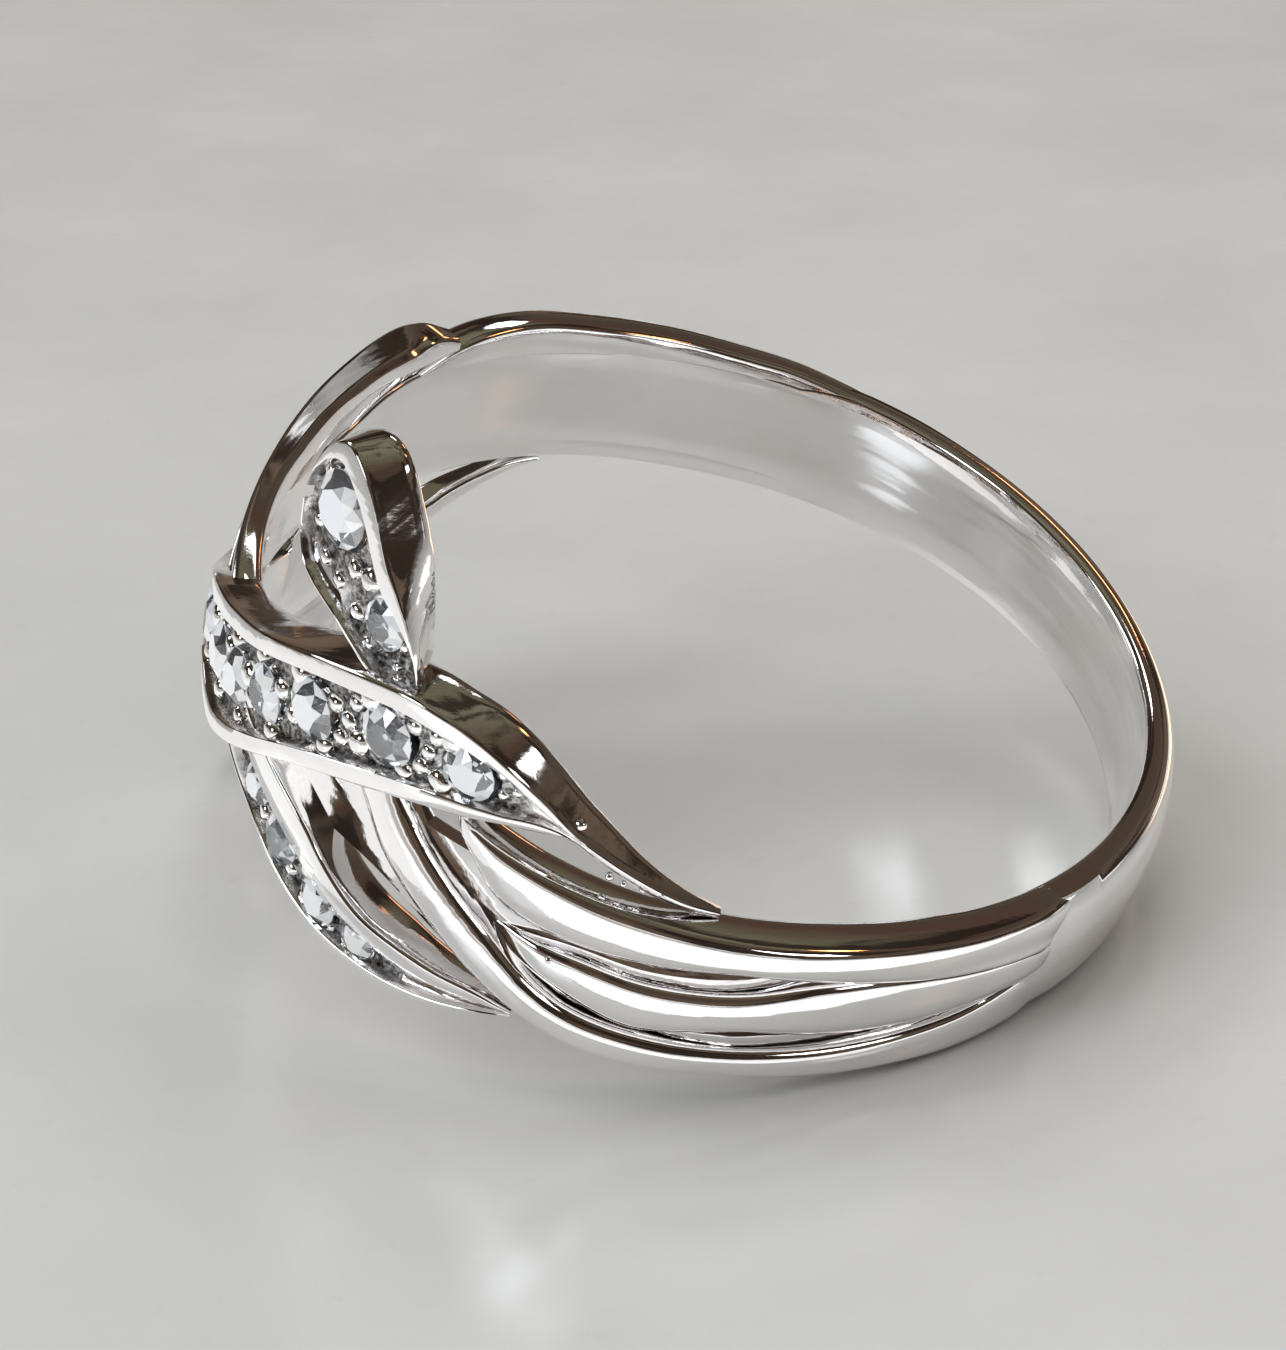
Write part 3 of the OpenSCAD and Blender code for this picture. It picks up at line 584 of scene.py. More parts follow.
upright = np.vstack(casting.points)
mesh = bpy.data.meshes.new("ring_casting")
mesh.from_pydata([tuple(p) for p in laid(upright)], [], casting.faces)
mesh.validate()
rough = mesh.attributes.new("bed", "FLOAT", "POINT")
rough.data.foreach_set("value", np.concatenate(casting.rough).astype(np.float32))
radius = np.hypot(upright[:, 0], upright[:, 1])[:, None]
wheel = np.hstack([upright[:, :2] / radius * WAVES_ROUND, upright[:, 2:] + WAVES_OUT * radius])
polish = mesh.attributes.new("polish", "FLOAT_VECTOR", "POINT")
polish.data.foreach_set("vector", wheel.astype(np.float32).ravel())
outward_faces(mesh)
mesh.shade_smooth()
mesh.set_sharp_from_angle(angle=math.radians(SHARP_FROM))
ring_casting = new_object("ring_casting", mesh)
print("casting triangles", sum(len(p.vertices) - 2 for p in mesh.polygons))

# %% [markdown]
# Each stone is a round brilliant: a flat table, a crown of kite-shaped facets
# round it, a thin girdle, and a pointed pavilion below. Light goes in at the
# table, turns back off the pavilion and comes out as flashes, so the facets
# have to be real and flat. One stone is drawn at a size of 1 across.

# %% Brilliant
TABLE, CROWN_H, GIRDLE_H, PAVILION = 0.56, 0.155, 0.012, 0.43
# radius of the points between the star facets, and their share of the crown
STAR_R, STAR_SHARE = 0.39, 0.52
# radius and depth of the points where the lower facets meet
LOWER_R, LOWER_Z = 0.20, -0.245


def brilliant():
    def ring(n, radius, z, start=0.0):
        turns = [math.radians(start + 360 * k / n) for k in range(n)]
        return [(radius * math.cos(t), radius * math.sin(t), z) for t in turns]

    # points: the table from 0, star 8, girdle 16 and 32, lower 48, tip 56
    v = ring(8, TABLE / 2, CROWN_H)
    v += ring(8, STAR_R, CROWN_H * STAR_SHARE, 22.5)
    v += ring(16, 0.5, GIRDLE_H) + ring(16, 0.5, -GIRDLE_H)
    v += ring(8, LOWER_R, LOWER_Z, 22.5) + [(0, 0, -PAVILION)]
    f = [tuple(range(8))]
    for k in range(8):
        n = (k + 1) % 8
        p = (k - 1) % 8
        g, gn, gp = 16 + 2 * k, 16 + (2 * k + 1) % 16, 16 + (2 * k + 2) % 16
        f.append((k, 8 + k, n))                      # star
        f.append((k, 8 + p, g, 8 + k))               # kite
        f.append((8 + k, g, gn))                     # upper girdle
        f.append((8 + k, gn, gp))
        f.append((g, g + 16, gn + 16, gn))           # girdle
        f.append((gn, gn + 16, gp + 16, gp))
        f.append((48 + k, gn + 16, g + 16))          # lower girdle
        f.append((48 + k, gp + 16, gn + 16))
        f.append((56, 48 + k, g + 16, 48 + p))       # pavilion
    return v, f


gem_points, gem_faces = brilliant()
gem_mesh = bpy.data.meshes.new("brilliant_cut")
gem_mesh.from_pydata(gem_points, [], gem_faces)
outward_faces(gem_mesh)
facet = gem_mesh.attributes.new("facet", "FLOAT", "FACE")
facet.data.foreach_set("value", np.arange(len(gem_mesh.polygons), dtype=np.float32))
gem_source = new_object("brilliant_cut", gem_mesh)
print("facets of one stone", len(gem_mesh.polygons))

# %% [markdown]
# A grain is a bead of metal that the setter raises with a graver and rounds
# with a hollow punch, so it leans over the stone's edge. Here it is a small
# low lump, a little square, with a foot that goes into the bed.

# %% Grain bead
BEAD_RINGS, BEAD_SIDES = 7, 16
FOOT_R, FOOT_Z, FOOT_TIP = 0.44, -0.8, -0.85


def grain_bead():
    """One grain, 1 across and half as high above its foot."""
    def lump(k, r):
        """A slightly square outline, since two graver cuts meet beside a grain."""
        u = 2 * math.pi * k / BEAD_SIDES
        q = r * (abs(math.cos(u)) ** 3 + abs(math.sin(u)) ** 3) ** (-1 / 3)
        return q * math.cos(u), q * math.sin(u)

    v, f = [], []
    for i in range(BEAD_RINGS):
        t = math.radians(90 * i / BEAD_RINGS)
        v += [(*lump(k, 0.5 * math.cos(t) ** 0.7), 0.5 * math.sin(t)) for k in range(BEAD_SIDES)]
    v.append((0, 0, 0.5))
    base = len(v)
    v += [(*lump(k, FOOT_R), FOOT_Z) for k in range(BEAD_SIDES)]
    v.append((0, 0, FOOT_TIP))
    top = base - 1 - BEAD_SIDES
    for i in range(BEAD_RINGS - 1):
        lower, upper = i * BEAD_SIDES, (i + 1) * BEAD_SIDES
        for k in range(BEAD_SIDES):
            n = (k + 1) % BEAD_SIDES
            f.append((lower + k, lower + n, upper + n, upper + k))
    for k in range(BEAD_SIDES):
        n = (k + 1) % BEAD_SIDES
        f.append((top + k, top + n, base - 1))
        f.append((n, k, base + k, base + n))
        f.append((base + n, base + k, len(v) - 1))
    return v, f


bead_points, bead_faces = grain_bead()
bead_mesh = bpy.data.meshes.new("grain_bead")
bead_mesh.from_pydata(bead_points, [], bead_faces)
outward_faces(bead_mesh)
bead_mesh.shade_smooth()
bead_source = new_object("grain_bead", bead_mesh)
print("faces of one grain", len(bead_mesh.polygons))

# %% [markdown]
# The stones and grains repeat, so they are placed by Geometry Nodes. A mesh
# of loose points carries, for each one, the way it faces, its size and its
# spin. The tree puts a copy of the stone or grain on each point, makes the
# copies real and gives them their material.

# %% Node tree for repeats
TREE_INPUTS = [["Places", "Geometry"], ["Piece", "Object"], ["Material", "Material"],
               ["Seed", "Int"], ["Wobble degrees", "Float"]]


def repeat_tree(name):
    tree = bpy.data.node_groups.new(name, "GeometryNodeTree")
    for title, kind in TREE_INPUTS:
        tree.interface.new_socket(title, in_out="INPUT", socket_type="NodeSocket" + kind)
    tree.interface.new_socket("Result", in_out="OUTPUT", socket_type="NodeSocketGeometry")

    def node(kind, links=None, **settings):
        """A node with its settings, and a link into each input that is named."""
        n = tree.nodes.new(kind)
        for key, value in settings.items():
            setattr(n, key, value)
        for key, socket in (links or {}).items():
            tree.links.new(socket, n.inputs[key])
        return n

    def named(attribute, kind="FLOAT_VECTOR"):
        n = node("GeometryNodeInputNamedAttribute", data_type=kind)
        n.inputs["Name"].default_value = attribute
        return n.outputs["Attribute"]

    def turned(first, then):
        n = node("FunctionNodeRotateRotation", {"Rotation": first, "Rotate By": then},
                 rotation_space="LOCAL")
        return n.outputs["Rotation"]

    given = node("NodeGroupInput").outputs
    piece = node("GeometryNodeObjectInfo", {"Object": given["Piece"]}, transform_space="ORIGINAL")
    upright = node("FunctionNodeAlignRotationToVector", {"Vector": named("facing")}, axis="Z")
    spin = node("FunctionNodeAxisAngleToRotation", {"Angle": named("spin", "FLOAT")})
    spin.inputs["Axis"].default_value = (0, 0, 1)
    # a small lean for each copy, because nothing set by hand is quite level
    chance = node("FunctionNodeRandomValue", {"Seed": given["Seed"]}, data_type="FLOAT_VECTOR")
    chance.inputs[0].default_value = (-1, -1, 0)
    chance.inputs[1].default_value = (1, 1, 0)
    wobble = node("ShaderNodeMath", {0: given["Wobble degrees"]}, operation="RADIANS")
    slopes = node("ShaderNodeVectorMath", {0: chance.outputs[0], "Scale": wobble.outputs[0]},
                  operation="SCALE")
    lean = node("FunctionNodeEulerToRotation", {"Euler": slopes.outputs["Vector"]})
    facing = turned(upright.outputs["Rotation"], spin.outputs["Rotation"])
    put = node("GeometryNodeInstanceOnPoints", {
        "Points": given["Places"], "Instance": piece.outputs["Geometry"],
        "Rotation": turned(facing, lean.outputs["Rotation"]), "Scale": named("across")})
    real = node("GeometryNodeRealizeInstances", {"Geometry": put.outputs["Instances"]})
    paint = node("GeometryNodeSetMaterial", {
        "Geometry": real.outputs["Geometry"], "Material": given["Material"]})
    node("NodeGroupOutput", {"Result": paint.outputs["Geometry"]})
    return tree


REPEAT = repeat_tree("repeat on places")
print("nodes in the tree", len(REPEAT.nodes))

# %% [markdown]
# One function uses the tree for every row of stones and for the grains. It
# makes the loose points, sets the tree's inputs, and turns what comes out
# into a plain mesh, because the export drops modifiers that make instances.

# %% Put copies on places
def repeated(name, places, piece, material, seed, wobble):
    """places: list of (point, facing, size vector, spin in degrees), upright, in mm."""
    me = bpy.data.meshes.new(name + "_places")
    me.from_pydata([tuple(p) for p in laid([q[0] for q in places])], [], [])
    facing = np.array([q[1] for q in places]) @ LEAN.T
    for key, kind, data in (("facing", "FLOAT_VECTOR", facing),
                            ("across", "FLOAT_VECTOR", np.array([q[2] for q in places]) * MM),
                            ("spin", "FLOAT", np.radians([q[3] for q in places]))):
        att = me.attributes.new(key, kind, "POINT")
        field = "vector" if kind == "FLOAT_VECTOR" else "value"
        att.data.foreach_set(field, np.asarray(data, np.float32).ravel())
    ob = new_object(name, me)
    mod = ob.modifiers.new("repeat", "NODES")
    mod.node_group = REPEAT
    wanted = {"Piece": piece, "Material": material, "Seed": seed, "Wobble degrees": wobble}
    for item in REPEAT.interface.items_tree:
        if item.in_out == "INPUT" and item.name in wanted:
            mod[item.identifier] = wanted[item.name]
    bpy.context.view_layer.update()
    made = ob.evaluated_get(bpy.context.evaluated_depsgraph_get())
    plain = bpy.data.meshes.new_from_object(made)
    ob.modifiers.clear()
    ob.data = plain
    return ob


print("inputs of the tree", [item.name for item in REPEAT.interface.items_tree])


# %% [markdown]
# White gold and silver rings are often plated and polished until they are a
# mirror. What is seen then is mostly the room. The surface itself adds very
# little: fine wiping scratches, a soft haze that varies from place to place,
# and in the set beds a rough, darker skin that the polishing wheel can't
# reach. The bed value from the loft mixes the two. A few small helpers come
# first, because every material here is built from the same kinds of node.

# %% Shader helpers
def shader(name):
    m = bpy.data.materials.new(name)
    m.use_nodes = True
    m.node_tree.nodes.clear()
    n, l = m.node_tree.nodes, m.node_tree.links
    out, bsdf = n.new("ShaderNodeOutputMaterial"), n.new("ShaderNodeBsdfPrincipled")
    l.new(bsdf.outputs[0], out.inputs["Surface"])
    return m, n, l, bsdf


def attribute(n, name, output="Fac"):
    a = n.new("ShaderNodeAttribute")
    a.attribute_name = name
    return a.outputs[output]


def noise(n, l, coords, scale, detail=3.0, rough=0.5):
    t = n.new("ShaderNodeTexNoise")
    t.inputs["Scale"].default_value = scale
    t.inputs["Detail"].default_value = detail
    t.inputs["Roughness"].default_value = rough
    l.new(coords, t.inputs["Vector"])
    return t.outputs["Fac"]


def span(n, l, value, lo, hi, to_lo, to_hi):
    """Maps lo..hi to to_lo..to_hi and stops at both ends."""
    t = n.new("ShaderNodeMapRange")
    for k, x in zip(("From Min", "From Max", "To Min", "To Max"), (lo, hi, to_lo, to_hi)):
        t.inputs[k].default_value = x
    l.new(value, t.inputs["Value"])
    return t.outputs["Result"]


def blend(n, l, factor, a, b, kind="FLOAT"):
    """Mixes two numbers or colours, each a value or a socket."""
    t = n.new("ShaderNodeMix")
    t.data_type = kind
    l.new(factor, t.inputs["Factor"])
    for socket, c in ((t.inputs["A"], a), (t.inputs["B"], b)):
        if isinstance(c, tuple):
            socket.default_value = (*c, 1)
        elif isinstance(c, float):
            socket.default_value = c
        else:
            l.new(c, socket)
    return t.outputs["Result"]


def bump(n, l, height, strength, distance, under=None):
    """A bump on top of another; its strength is a number or a socket."""
    b = n.new("ShaderNodeBump")
    b.inputs["Distance"].default_value = distance
    if isinstance(strength, float):
        b.inputs["Strength"].default_value = strength
    else:
        l.new(strength, b.inputs["Strength"])
    l.new(height, b.inputs["Height"])
    if under is not None:
        l.new(under, b.inputs["Normal"])
    return b.outputs["Normal"]


print("shader helpers ready")

# %% [markdown]
# The casting's metal has three bumps on top of each other: long low waves
# from the polishing wheel, fine wiping scratches, and the coarse skin of the
# beds. Each is a few hundredths of a millimetre high at most, because a
# mirror shows the least unevenness.

# %% Metal
POLISHED, TARNISHED = (0.955, 0.945, 0.95), (0.90, 0.885, 0.885)
PIT, PEAK = (0.14, 0.135, 0.13), (0.72, 0.71, 0.70)
GRAIN_BRIGHT, GRAIN_DIM = (0.98, 0.98, 0.98), (0.86, 0.86, 0.85)
# noise scales, in waves for each metre: haze, grit, scratches; then the wheel's
HAZE, GRIT, GRAIN_GRIT, SCRATCH, WHEEL = 420, 9000, 7000, 1500, 2.2
# bump heights in metres, and how strong each bump is
DEEP_BUMP, FINE_BUMP = 0.00006, 0.00002
WAVE_BUMP, WIPED, CAST_SKIN, GRAIN_SKIN = 0.35, 0.05, 0.55, 0.25
# least and most roughness of a polished place, a cast bed and a grain
POLISHED_ROUGH, CAST_ROUGH, GRAIN_ROUGH = (0.03, 0.085), (0.18, 0.42), (0.05, 0.16)
# the wiping scratches are noise drawn out by these scales, along this turn
DRAWN_OUT, DRAWN_ALONG = (1.0, 14.0, 5.0), (0.3, 0.5, 0.9)


def white_metal():
    m, n, l, bsdf = shader("white_metal")
    co = n.new("ShaderNodeTexCoord").outputs["Object"]
    bed = attribute(n, "bed")
    haze = noise(n, l, co, HAZE, 3)
    grit = noise(n, l, co, GRIT, 4, 0.6)
    drawn = n.new("ShaderNodeMapping")
    drawn.inputs["Scale"].default_value = DRAWN_OUT
    drawn.inputs["Rotation"].default_value = DRAWN_ALONG
    l.new(co, drawn.inputs["Vector"])
    scratch = noise(n, l, drawn.outputs["Vector"], SCRATCH, 2)
    waves = noise(n, l, attribute(n, "polish", "Vector"), WHEEL, 2, 0.45)
    bright = blend(n, l, span(n, l, haze, 0.45, 0.7, 0.0, 1.0), POLISHED, TARNISHED, "RGBA")
    dull = blend(n, l, span(n, l, grit, 0.42, 0.66, 0.0, 1.0), PIT, PEAK, "RGBA")
    l.new(blend(n, l, bed, bright, dull, "RGBA"), bsdf.inputs["Base Color"])
    bsdf.inputs["Metallic"].default_value = 1.0
    polish = span(n, l, haze, 0.3, 0.7, *POLISHED_ROUGH)
    cast = span(n, l, grit, 0.3, 0.7, *CAST_ROUGH)
    l.new(blend(n, l, bed, polish, cast), bsdf.inputs["Roughness"])
    wave = bump(n, l, waves, WAVE_BUMP, DEEP_BUMP)
    fine = bump(n, l, scratch, WIPED, FINE_BUMP, wave)
    coarse = bump(n, l, grit, span(n, l, bed, 0, 1, 0.0, CAST_SKIN), DEEP_BUMP, fine)
    l.new(coarse, bsdf.inputs["Normal"])
    return m


def grain_metal():
    m, n, l, bsdf = shader("grain_metal")
    grit = noise(n, l, n.new("ShaderNodeTexCoord").outputs["Object"], GRAIN_GRIT, 3)
    l.new(blend(n, l, grit, GRAIN_BRIGHT, GRAIN_DIM, "RGBA"), bsdf.inputs["Base Color"])
    bsdf.inputs["Metallic"].default_value = 1.0
    l.new(span(n, l, grit, 0.3, 0.7, *GRAIN_ROUGH), bsdf.inputs["Roughness"])
    l.new(bump(n, l, grit, GRAIN_SKIN, FINE_BUMP), bsdf.inputs["Normal"])
    return m


WHITE_METAL = white_metal()
GRAIN_METAL = grain_metal()
print("metals", WHITE_METAL.name, GRAIN_METAL.name)

# %% [markdown]
# Moissanite bends light more than diamond does, with an index near 2.65, so
# a small stone shows hard white and black flashes. It is a clear glass shader
# with that index. The flashes are also painted in: a number for each facet
# makes it either clear, pale blue glass or a diffuse white facet, which is a
# painted flash. A trace of haze stands for skin oil.

# %% Moissanite
MOISSANITE_INDEX = 2.65
# painted flash tints: pale blue for the clear facets, white for the diffuse ones
BLUE_FLASH_TINT, WHITE_FLASH_TINT = (0.84, 0.91, 1.0), (1.0, 1.0, 1.0)
# apart enough that a facet's number differs from stone to stone
NUMBERS_APART = 700.0
# the facets whose number is below the first of these are clear, and those
# above the second are diffuse painted white flashes; how clear each kind is
CLEAR_BELOW, PAINTED_FLASH_ABOVE = 0.30, 0.42
CLEAR_FACET, PAINTED_FLASH_FACET = 0.95, 0.08
# the oil film's noise scale, its most roughness, and its bump height in metres
FILM, FILM_ROUGH, FILM_BUMP = 1800, 0.05, 0.00001


def moissanite():
    m, n, l, bsdf = shader("moissanite")
    film = noise(n, l, n.new("ShaderNodeTexCoord").outputs["Object"], FILM, 2)
    # one number for each facet of each stone, told apart by the stone's spin
    number, whole, chance = (n.new("ShaderNode" + kind) for kind in ("Math", "Math", "TexWhiteNoise"))
    number.operation, whole.operation, chance.noise_dimensions = "MULTIPLY_ADD", "ROUND", "1D"
    l.new(attribute(n, "spin"), number.inputs[0])
    number.inputs[1].default_value = NUMBERS_APART
    l.new(attribute(n, "facet"), number.inputs[2])
    l.new(number.outputs[0], whole.inputs[0])
    l.new(whole.outputs[0], chance.inputs["W"])
    flash_chance = chance.outputs["Value"]
    # painted flashes: each facet's number paints it pale blue or white
    l.new(blend(n, l, flash_chance, BLUE_FLASH_TINT, WHITE_FLASH_TINT, "RGBA"), bsdf.inputs["Base Color"])
    l.new(span(n, l, film, 0.35, 0.75, 0.0, FILM_ROUGH), bsdf.inputs["Roughness"])
    bsdf.inputs["IOR"].default_value = MOISSANITE_INDEX
    # painted flashes: some facets are clear glass, the others diffuse white
    clear_or_flash = span(n, l, flash_chance, CLEAR_BELOW, PAINTED_FLASH_ABOVE, CLEAR_FACET, PAINTED_FLASH_FACET)
    l.new(clear_or_flash, bsdf.inputs["Transmission Weight"])
    l.new(bump(n, l, film, 0.02, FILM_BUMP), bsdf.inputs["Normal"])
    return m


MOISSANITE = moissanite()
print("stone", MOISSANITE.name)


# %% [markdown]
# The stones go into their seats with the table outwards. Each gets its own
# spin, because a setter doesn't line up the facets.

# %% Place the stones
# how far a stone stands above its seat, the degrees from one stone's spin to
# the next one's, and the turn that brings a brilliant back onto itself
STONE_UP, SPIN_STEP, FACET_TURN = 0.03, 37.0, 45
STONE_WOBBLE, STONE_SEED = 2.5, 11


def outward(a):
    t = math.radians(a)
    return np.array([-math.cos(t), -math.sin(t), 0.0])


def stone_places(seats, first):
    """Point, facing, size and spin of each stone; first starts the spins."""
    out = []
    for k, (a, z, r, d) in enumerate(seats):
        p = outward(a) * (r + STONE_UP) + np.array([0, 0, z])
        out.append((p, outward(a), (d, d, d), (first + k) * SPIN_STEP % FACET_TURN))
    return out


def far_petal_places(places):
    rise = np.array([0, 0, PETAL_RISE])
    return [(FAR_PETAL @ p + rise, FAR_PETAL @ f, s, t) for p, f, s, t in places]


petal_places = stone_places(PETAL_SEATS, 3)
stones = {
    "over_stones": (stone_places(OVER_SEATS, 0), [f"over_stone_{i}" for i in range(1, 13)]),
    "under_stones": (stone_places(UNDER_SEATS, 5), [f"under_stone_{i}" for i in range(1, 9)]),
    "petal_stones": (petal_places + far_petal_places(petal_places),
                     [f"petal_stone_{i}" for i in range(1, 5)]),
}
pieces = [ring_casting]
for name, (places, nodes) in stones.items():
    ob = repeated(name, places, gem_source, MOISSANITE, STONE_SEED, STONE_WOBBLE)
    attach(ob, "root")
    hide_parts(*nodes)
    pieces.append(ob)
    print(name, len(ob.data.polygons))


# %% [markdown]
# Four grains hold a stone, two by each rail, and each laps over the stone's
# edge. Where two stones stand further apart, three more grains fill the gap
# across the bed. Sizes and shapes vary by a fixed rule, so that neighbours
# differ and the script still gives the same ring each time.

# %% Grains between stones
OVER_GRAIN, UNDER_GRAIN = 0.40, 0.28
GRAIN_DIP, GRAIN_HEIGHT = 0.06, 0.85
# stones further apart than this share no grains; room beyond a stone that is filled
GAP_MOST, SPARE_MOST = 2.2, 0.3
# the share of a wall's inward lean that its grains keep clear of
UNDERCUT = 0.3
# smallest grain and how much larger the largest is, as shares of the usual size
GRAIN_LEAST, GRAIN_MORE = 0.84, 0.4
# a grain's place: its height beside the stone as a share of the stone, and as
# shares of the grain its stand-off, its room from the rail, and its nearest
# and furthest place from the middle of the gap
BESIDE, STAND_OFF, RAIL_ROOM, NEAREST, FURTHEST = 0.44, 0.28, 0.3, 0.42, 0.9
# grains that fill a gap: where they lie across the bed, slant, share of the room
FILL_AT, FILL_SLANT, FILL_SIZE = (0.24, 0.52, 0.80), 1.6, 0.62


def bead(at, a, z, size):
    """A grain on a ribbon's bed; its odd number varies its shape and its spin."""
    h = top_radius(at(a)[0], z) - BED - GRAIN_DIP
    odd = (7.3 * a + 11.1 * z) % 1.0
    across = (size * (0.9 + 0.25 * odd), size, size * GRAIN_HEIGHT)
    return outward(a) * h + np.array([0, 0, z]), outward(a), across, 90 * odd


def bed_edges(row, keep=0.0):
    """The low and high limit for a grain that keeps this far from the rails."""
    lean = UNDERCUT * max(0.0, -row[OUT_HIGH])
    return row[LOW] + row[RAIL_LOW] + keep, row[HIGH] - row[RAIL_HIGH] - keep - lean


def grain_places(at, seats, size):
    out = []
    for s, t in zip(seats, seats[1:]):
        gap = math.radians(t[0] - s[0]) * (s[2] + t[2]) / 2
        if gap > GAP_MOST:
            continue
        spare = gap - 0.5 * (s[3] + t[3])
        if spare > SPARE_MOST:
            middle = (s[0] + t[0]) / 2
            lo, hi = bed_edges(at(middle)[0])
            for k in FILL_AT:
                a = middle + FILL_SLANT * (k - 0.5)
                out.append(bead(at, a, lo + k * (hi - lo), FILL_SIZE * spare))
        for side in (-1, 1):
            for stone, pull in ((s, 1), (t, -1)):
                grain = size * (GRAIN_LEAST + GRAIN_MORE * ((len(out) * 7 + 2) % 5) / 4)
                away, lift = 0.5 * stone[3] + STAND_OFF * grain, BESIDE * stone[3]
                x = max(math.sqrt(max(0.0, away ** 2 - lift ** 2)), gap / 2 - FURTHEST * size)
                x = min(x, gap / 2 - NEAREST * size)
                a = stone[0] + pull * math.degrees(x / stone[2])
                lo, hi = bed_edges(at(a)[0], RAIL_ROOM * grain)
                z = min(max(stone[1] + side * lift, lo), hi)
                out.append(bead(at, a, z, grain))
    return out


beads = grain_places(over_at, OVER_SEATS, OVER_GRAIN) + grain_places(under_at, UNDER_SEATS, UNDER_GRAIN)
print("grains between stones", len(beads))

# %% [markdown]
# Some grains stand by themselves: three beyond the last stone at each tip of
# the over ribbon, and those round the two stones of a petal, which have no
# neighbours to share them with. The casting also left a few tiny bubbles and
# drips, and the same bead makes them, leaning upwards.

# %% Single grains and drips
# columns: angle, height, size
TIP_GRAINS = [[52.6, 3.36, 0.24], [53.2, 2.95, 0.22], [54.6, 3.10, 0.17]]
PETAL_GRAINS = [
    [20.6, 5.30, 0.26], [20.3, 6.35, 0.26], [22.6, 6.95, 0.24], [28.4, 6.50, 0.28],
    [28.7, 5.25, 0.36], [26.6, 4.75, 0.30], [23.4, 4.85, 0.28], [31.4, 5.35, 0.46],
    [30.6, 4.55, 0.34], [33.0, 4.15, 0.24], [37.6, 4.60, 0.24], [37.4, 4.15, 0.22],
]
# columns: angle, radius, height, size
DRIPS = [
    [62.0, 9.08, 2.93, 0.20], [66.5, 9.03, 2.02, 0.15], [68.2, 9.05, 1.98, 0.12],
    [70.4, 9.03, 1.97, 0.14], [72.6, 9.02, 1.95, 0.10], [63.0, 9.33, 0.0, 0.14],
    [83.4, 9.37, -0.44, 0.12],
]
DRIP_UPWARDS = 0.8
GRAIN_WOBBLE, GRAIN_SEED = 9.0, 5
for side in (1, -1):
    beads += [bead(over_at, side * a, side * z, d) for a, z, d in TIP_GRAINS]
petal_beads = [bead(petal_at, a, z, d) for a, z, d in PETAL_GRAINS]
beads += petal_beads + far_petal_places(petal_beads)
for a, r, z, d in DRIPS:
    way = outward(a) + np.array([0, 0, DRIP_UPWARDS])
    place = outward(a) * r + np.array([0, 0, z])
    beads.append((place, way / np.linalg.norm(way), (d, d, d), 0.0))
grains = repeated("grain_beads", beads, bead_source, GRAIN_METAL, GRAIN_SEED, GRAIN_WOBBLE)
grains.data.shade_smooth()
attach(grains, "root")
pieces.append(grains)
print("grains", len(beads), "faces", len(grains.data.polygons))

# %% [markdown]
# The casting takes its material and stands for the CAD solid. The solids get
# the same materials, in case one is ever shown. The two drawn sources, one
# stone and one grain, have done their work and go.

# %% Finish the pieces
ring_casting.data.materials.append(WHITE_METAL)
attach(ring_casting, "root")
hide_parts("ring_metal")
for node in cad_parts:
    ob = bpy.data.objects.get(node)
    if ob is not None:
        ob.data.materials.clear()
        ob.data.materials.append(WHITE_METAL if node == "ring_metal" else MOISSANITE)
for ob in (gem_source, bead_source):
    bpy.data.objects.remove(ob)
print("pieces", [p.name for p in pieces])

# %% [markdown]
# The ring lies on a pale polished counter of stone. Its surface is glossy
# enough to mirror the ring softly, and has faint cloudy patches.

# %% Counter
PALE_STONE, PALER_STONE, SPECK = (0.582, 0.588, 0.578), (0.622, 0.628, 0.62), (0.5, 0.5, 0.485)
COUNTER_SIZE, COUNTER_PARTS, COUNTER_INDEX = 1.6, 24, 1.5
CLOUDS, SPECKS, COUNTER_ROUGH = 130, 1500, (0.16, 0.26)


def counter():
    me = bpy.data.meshes.new("counter")
    n, size = COUNTER_PARTS, COUNTER_SIZE
    at = [(k / n - 0.5) * size for k in range(n + 1)]
    corners = [i * (n + 1) + j for i in range(n) for j in range(n)]
    me.from_pydata([(x, y, 0.0) for x in at for y in at], [],
                   [(c, c + n + 1, c + n + 2, c + 1) for c in corners])
    ob = new_object("counter", me)
    m, nn, l, bsdf = shader("pale_stone")
    co = nn.new("ShaderNodeTexCoord").outputs["Object"]
    cloud = noise(nn, l, co, CLOUDS, 5, 0.6)
    speck = noise(nn, l, co, SPECKS, 3, 0.6)
    pale = blend(nn, l, span(nn, l, cloud, 0.3, 0.7, 0, 1), PALE_STONE, PALER_STONE, "RGBA")
    specked = blend(nn, l, span(nn, l, speck, 0.62, 0.74, 0, 0.2), pale, SPECK, "RGBA")
    l.new(specked, bsdf.inputs["Base Color"])
    l.new(span(nn, l, cloud, 0.3, 0.7, *COUNTER_ROUGH), bsdf.inputs["Roughness"])
    bsdf.inputs["IOR"].default_value = COUNTER_INDEX
    ob.data.materials.append(m)
    return ob


floor = counter()
print("counter faces", len(floor.data.polygons))

# %% [markdown]
# Polished metal has no colour of its own to show, so the room is as much a
# part of the picture as the ring. Faces that look down mirror the counter and
# come out white. Faces that look up mirror the room, which in the photograph
# is a dim olive brown with a warm lamp, so they come out dark with orange
# glints. The world is a ramp of such browns by height, with darker shapes.

# %% Room
# columns: height on the ramp, colour; the first two stand for the far counter
ROOM_STOPS = [
    [0.00, (0.60, 0.60, 0.59)], [0.20, (0.80, 0.80, 0.79)],
    [0.24, (0.17, 0.125, 0.095)], [0.42, (0.12, 0.088, 0.064)],
    [0.62, (0.075, 0.060, 0.047)], [0.76, (0.085, 0.052, 0.038)],
    [0.86, (0.12, 0.105, 0.072)], [1.00, (0.20, 0.185, 0.135)],
]
RAMP_FROM = -0.2
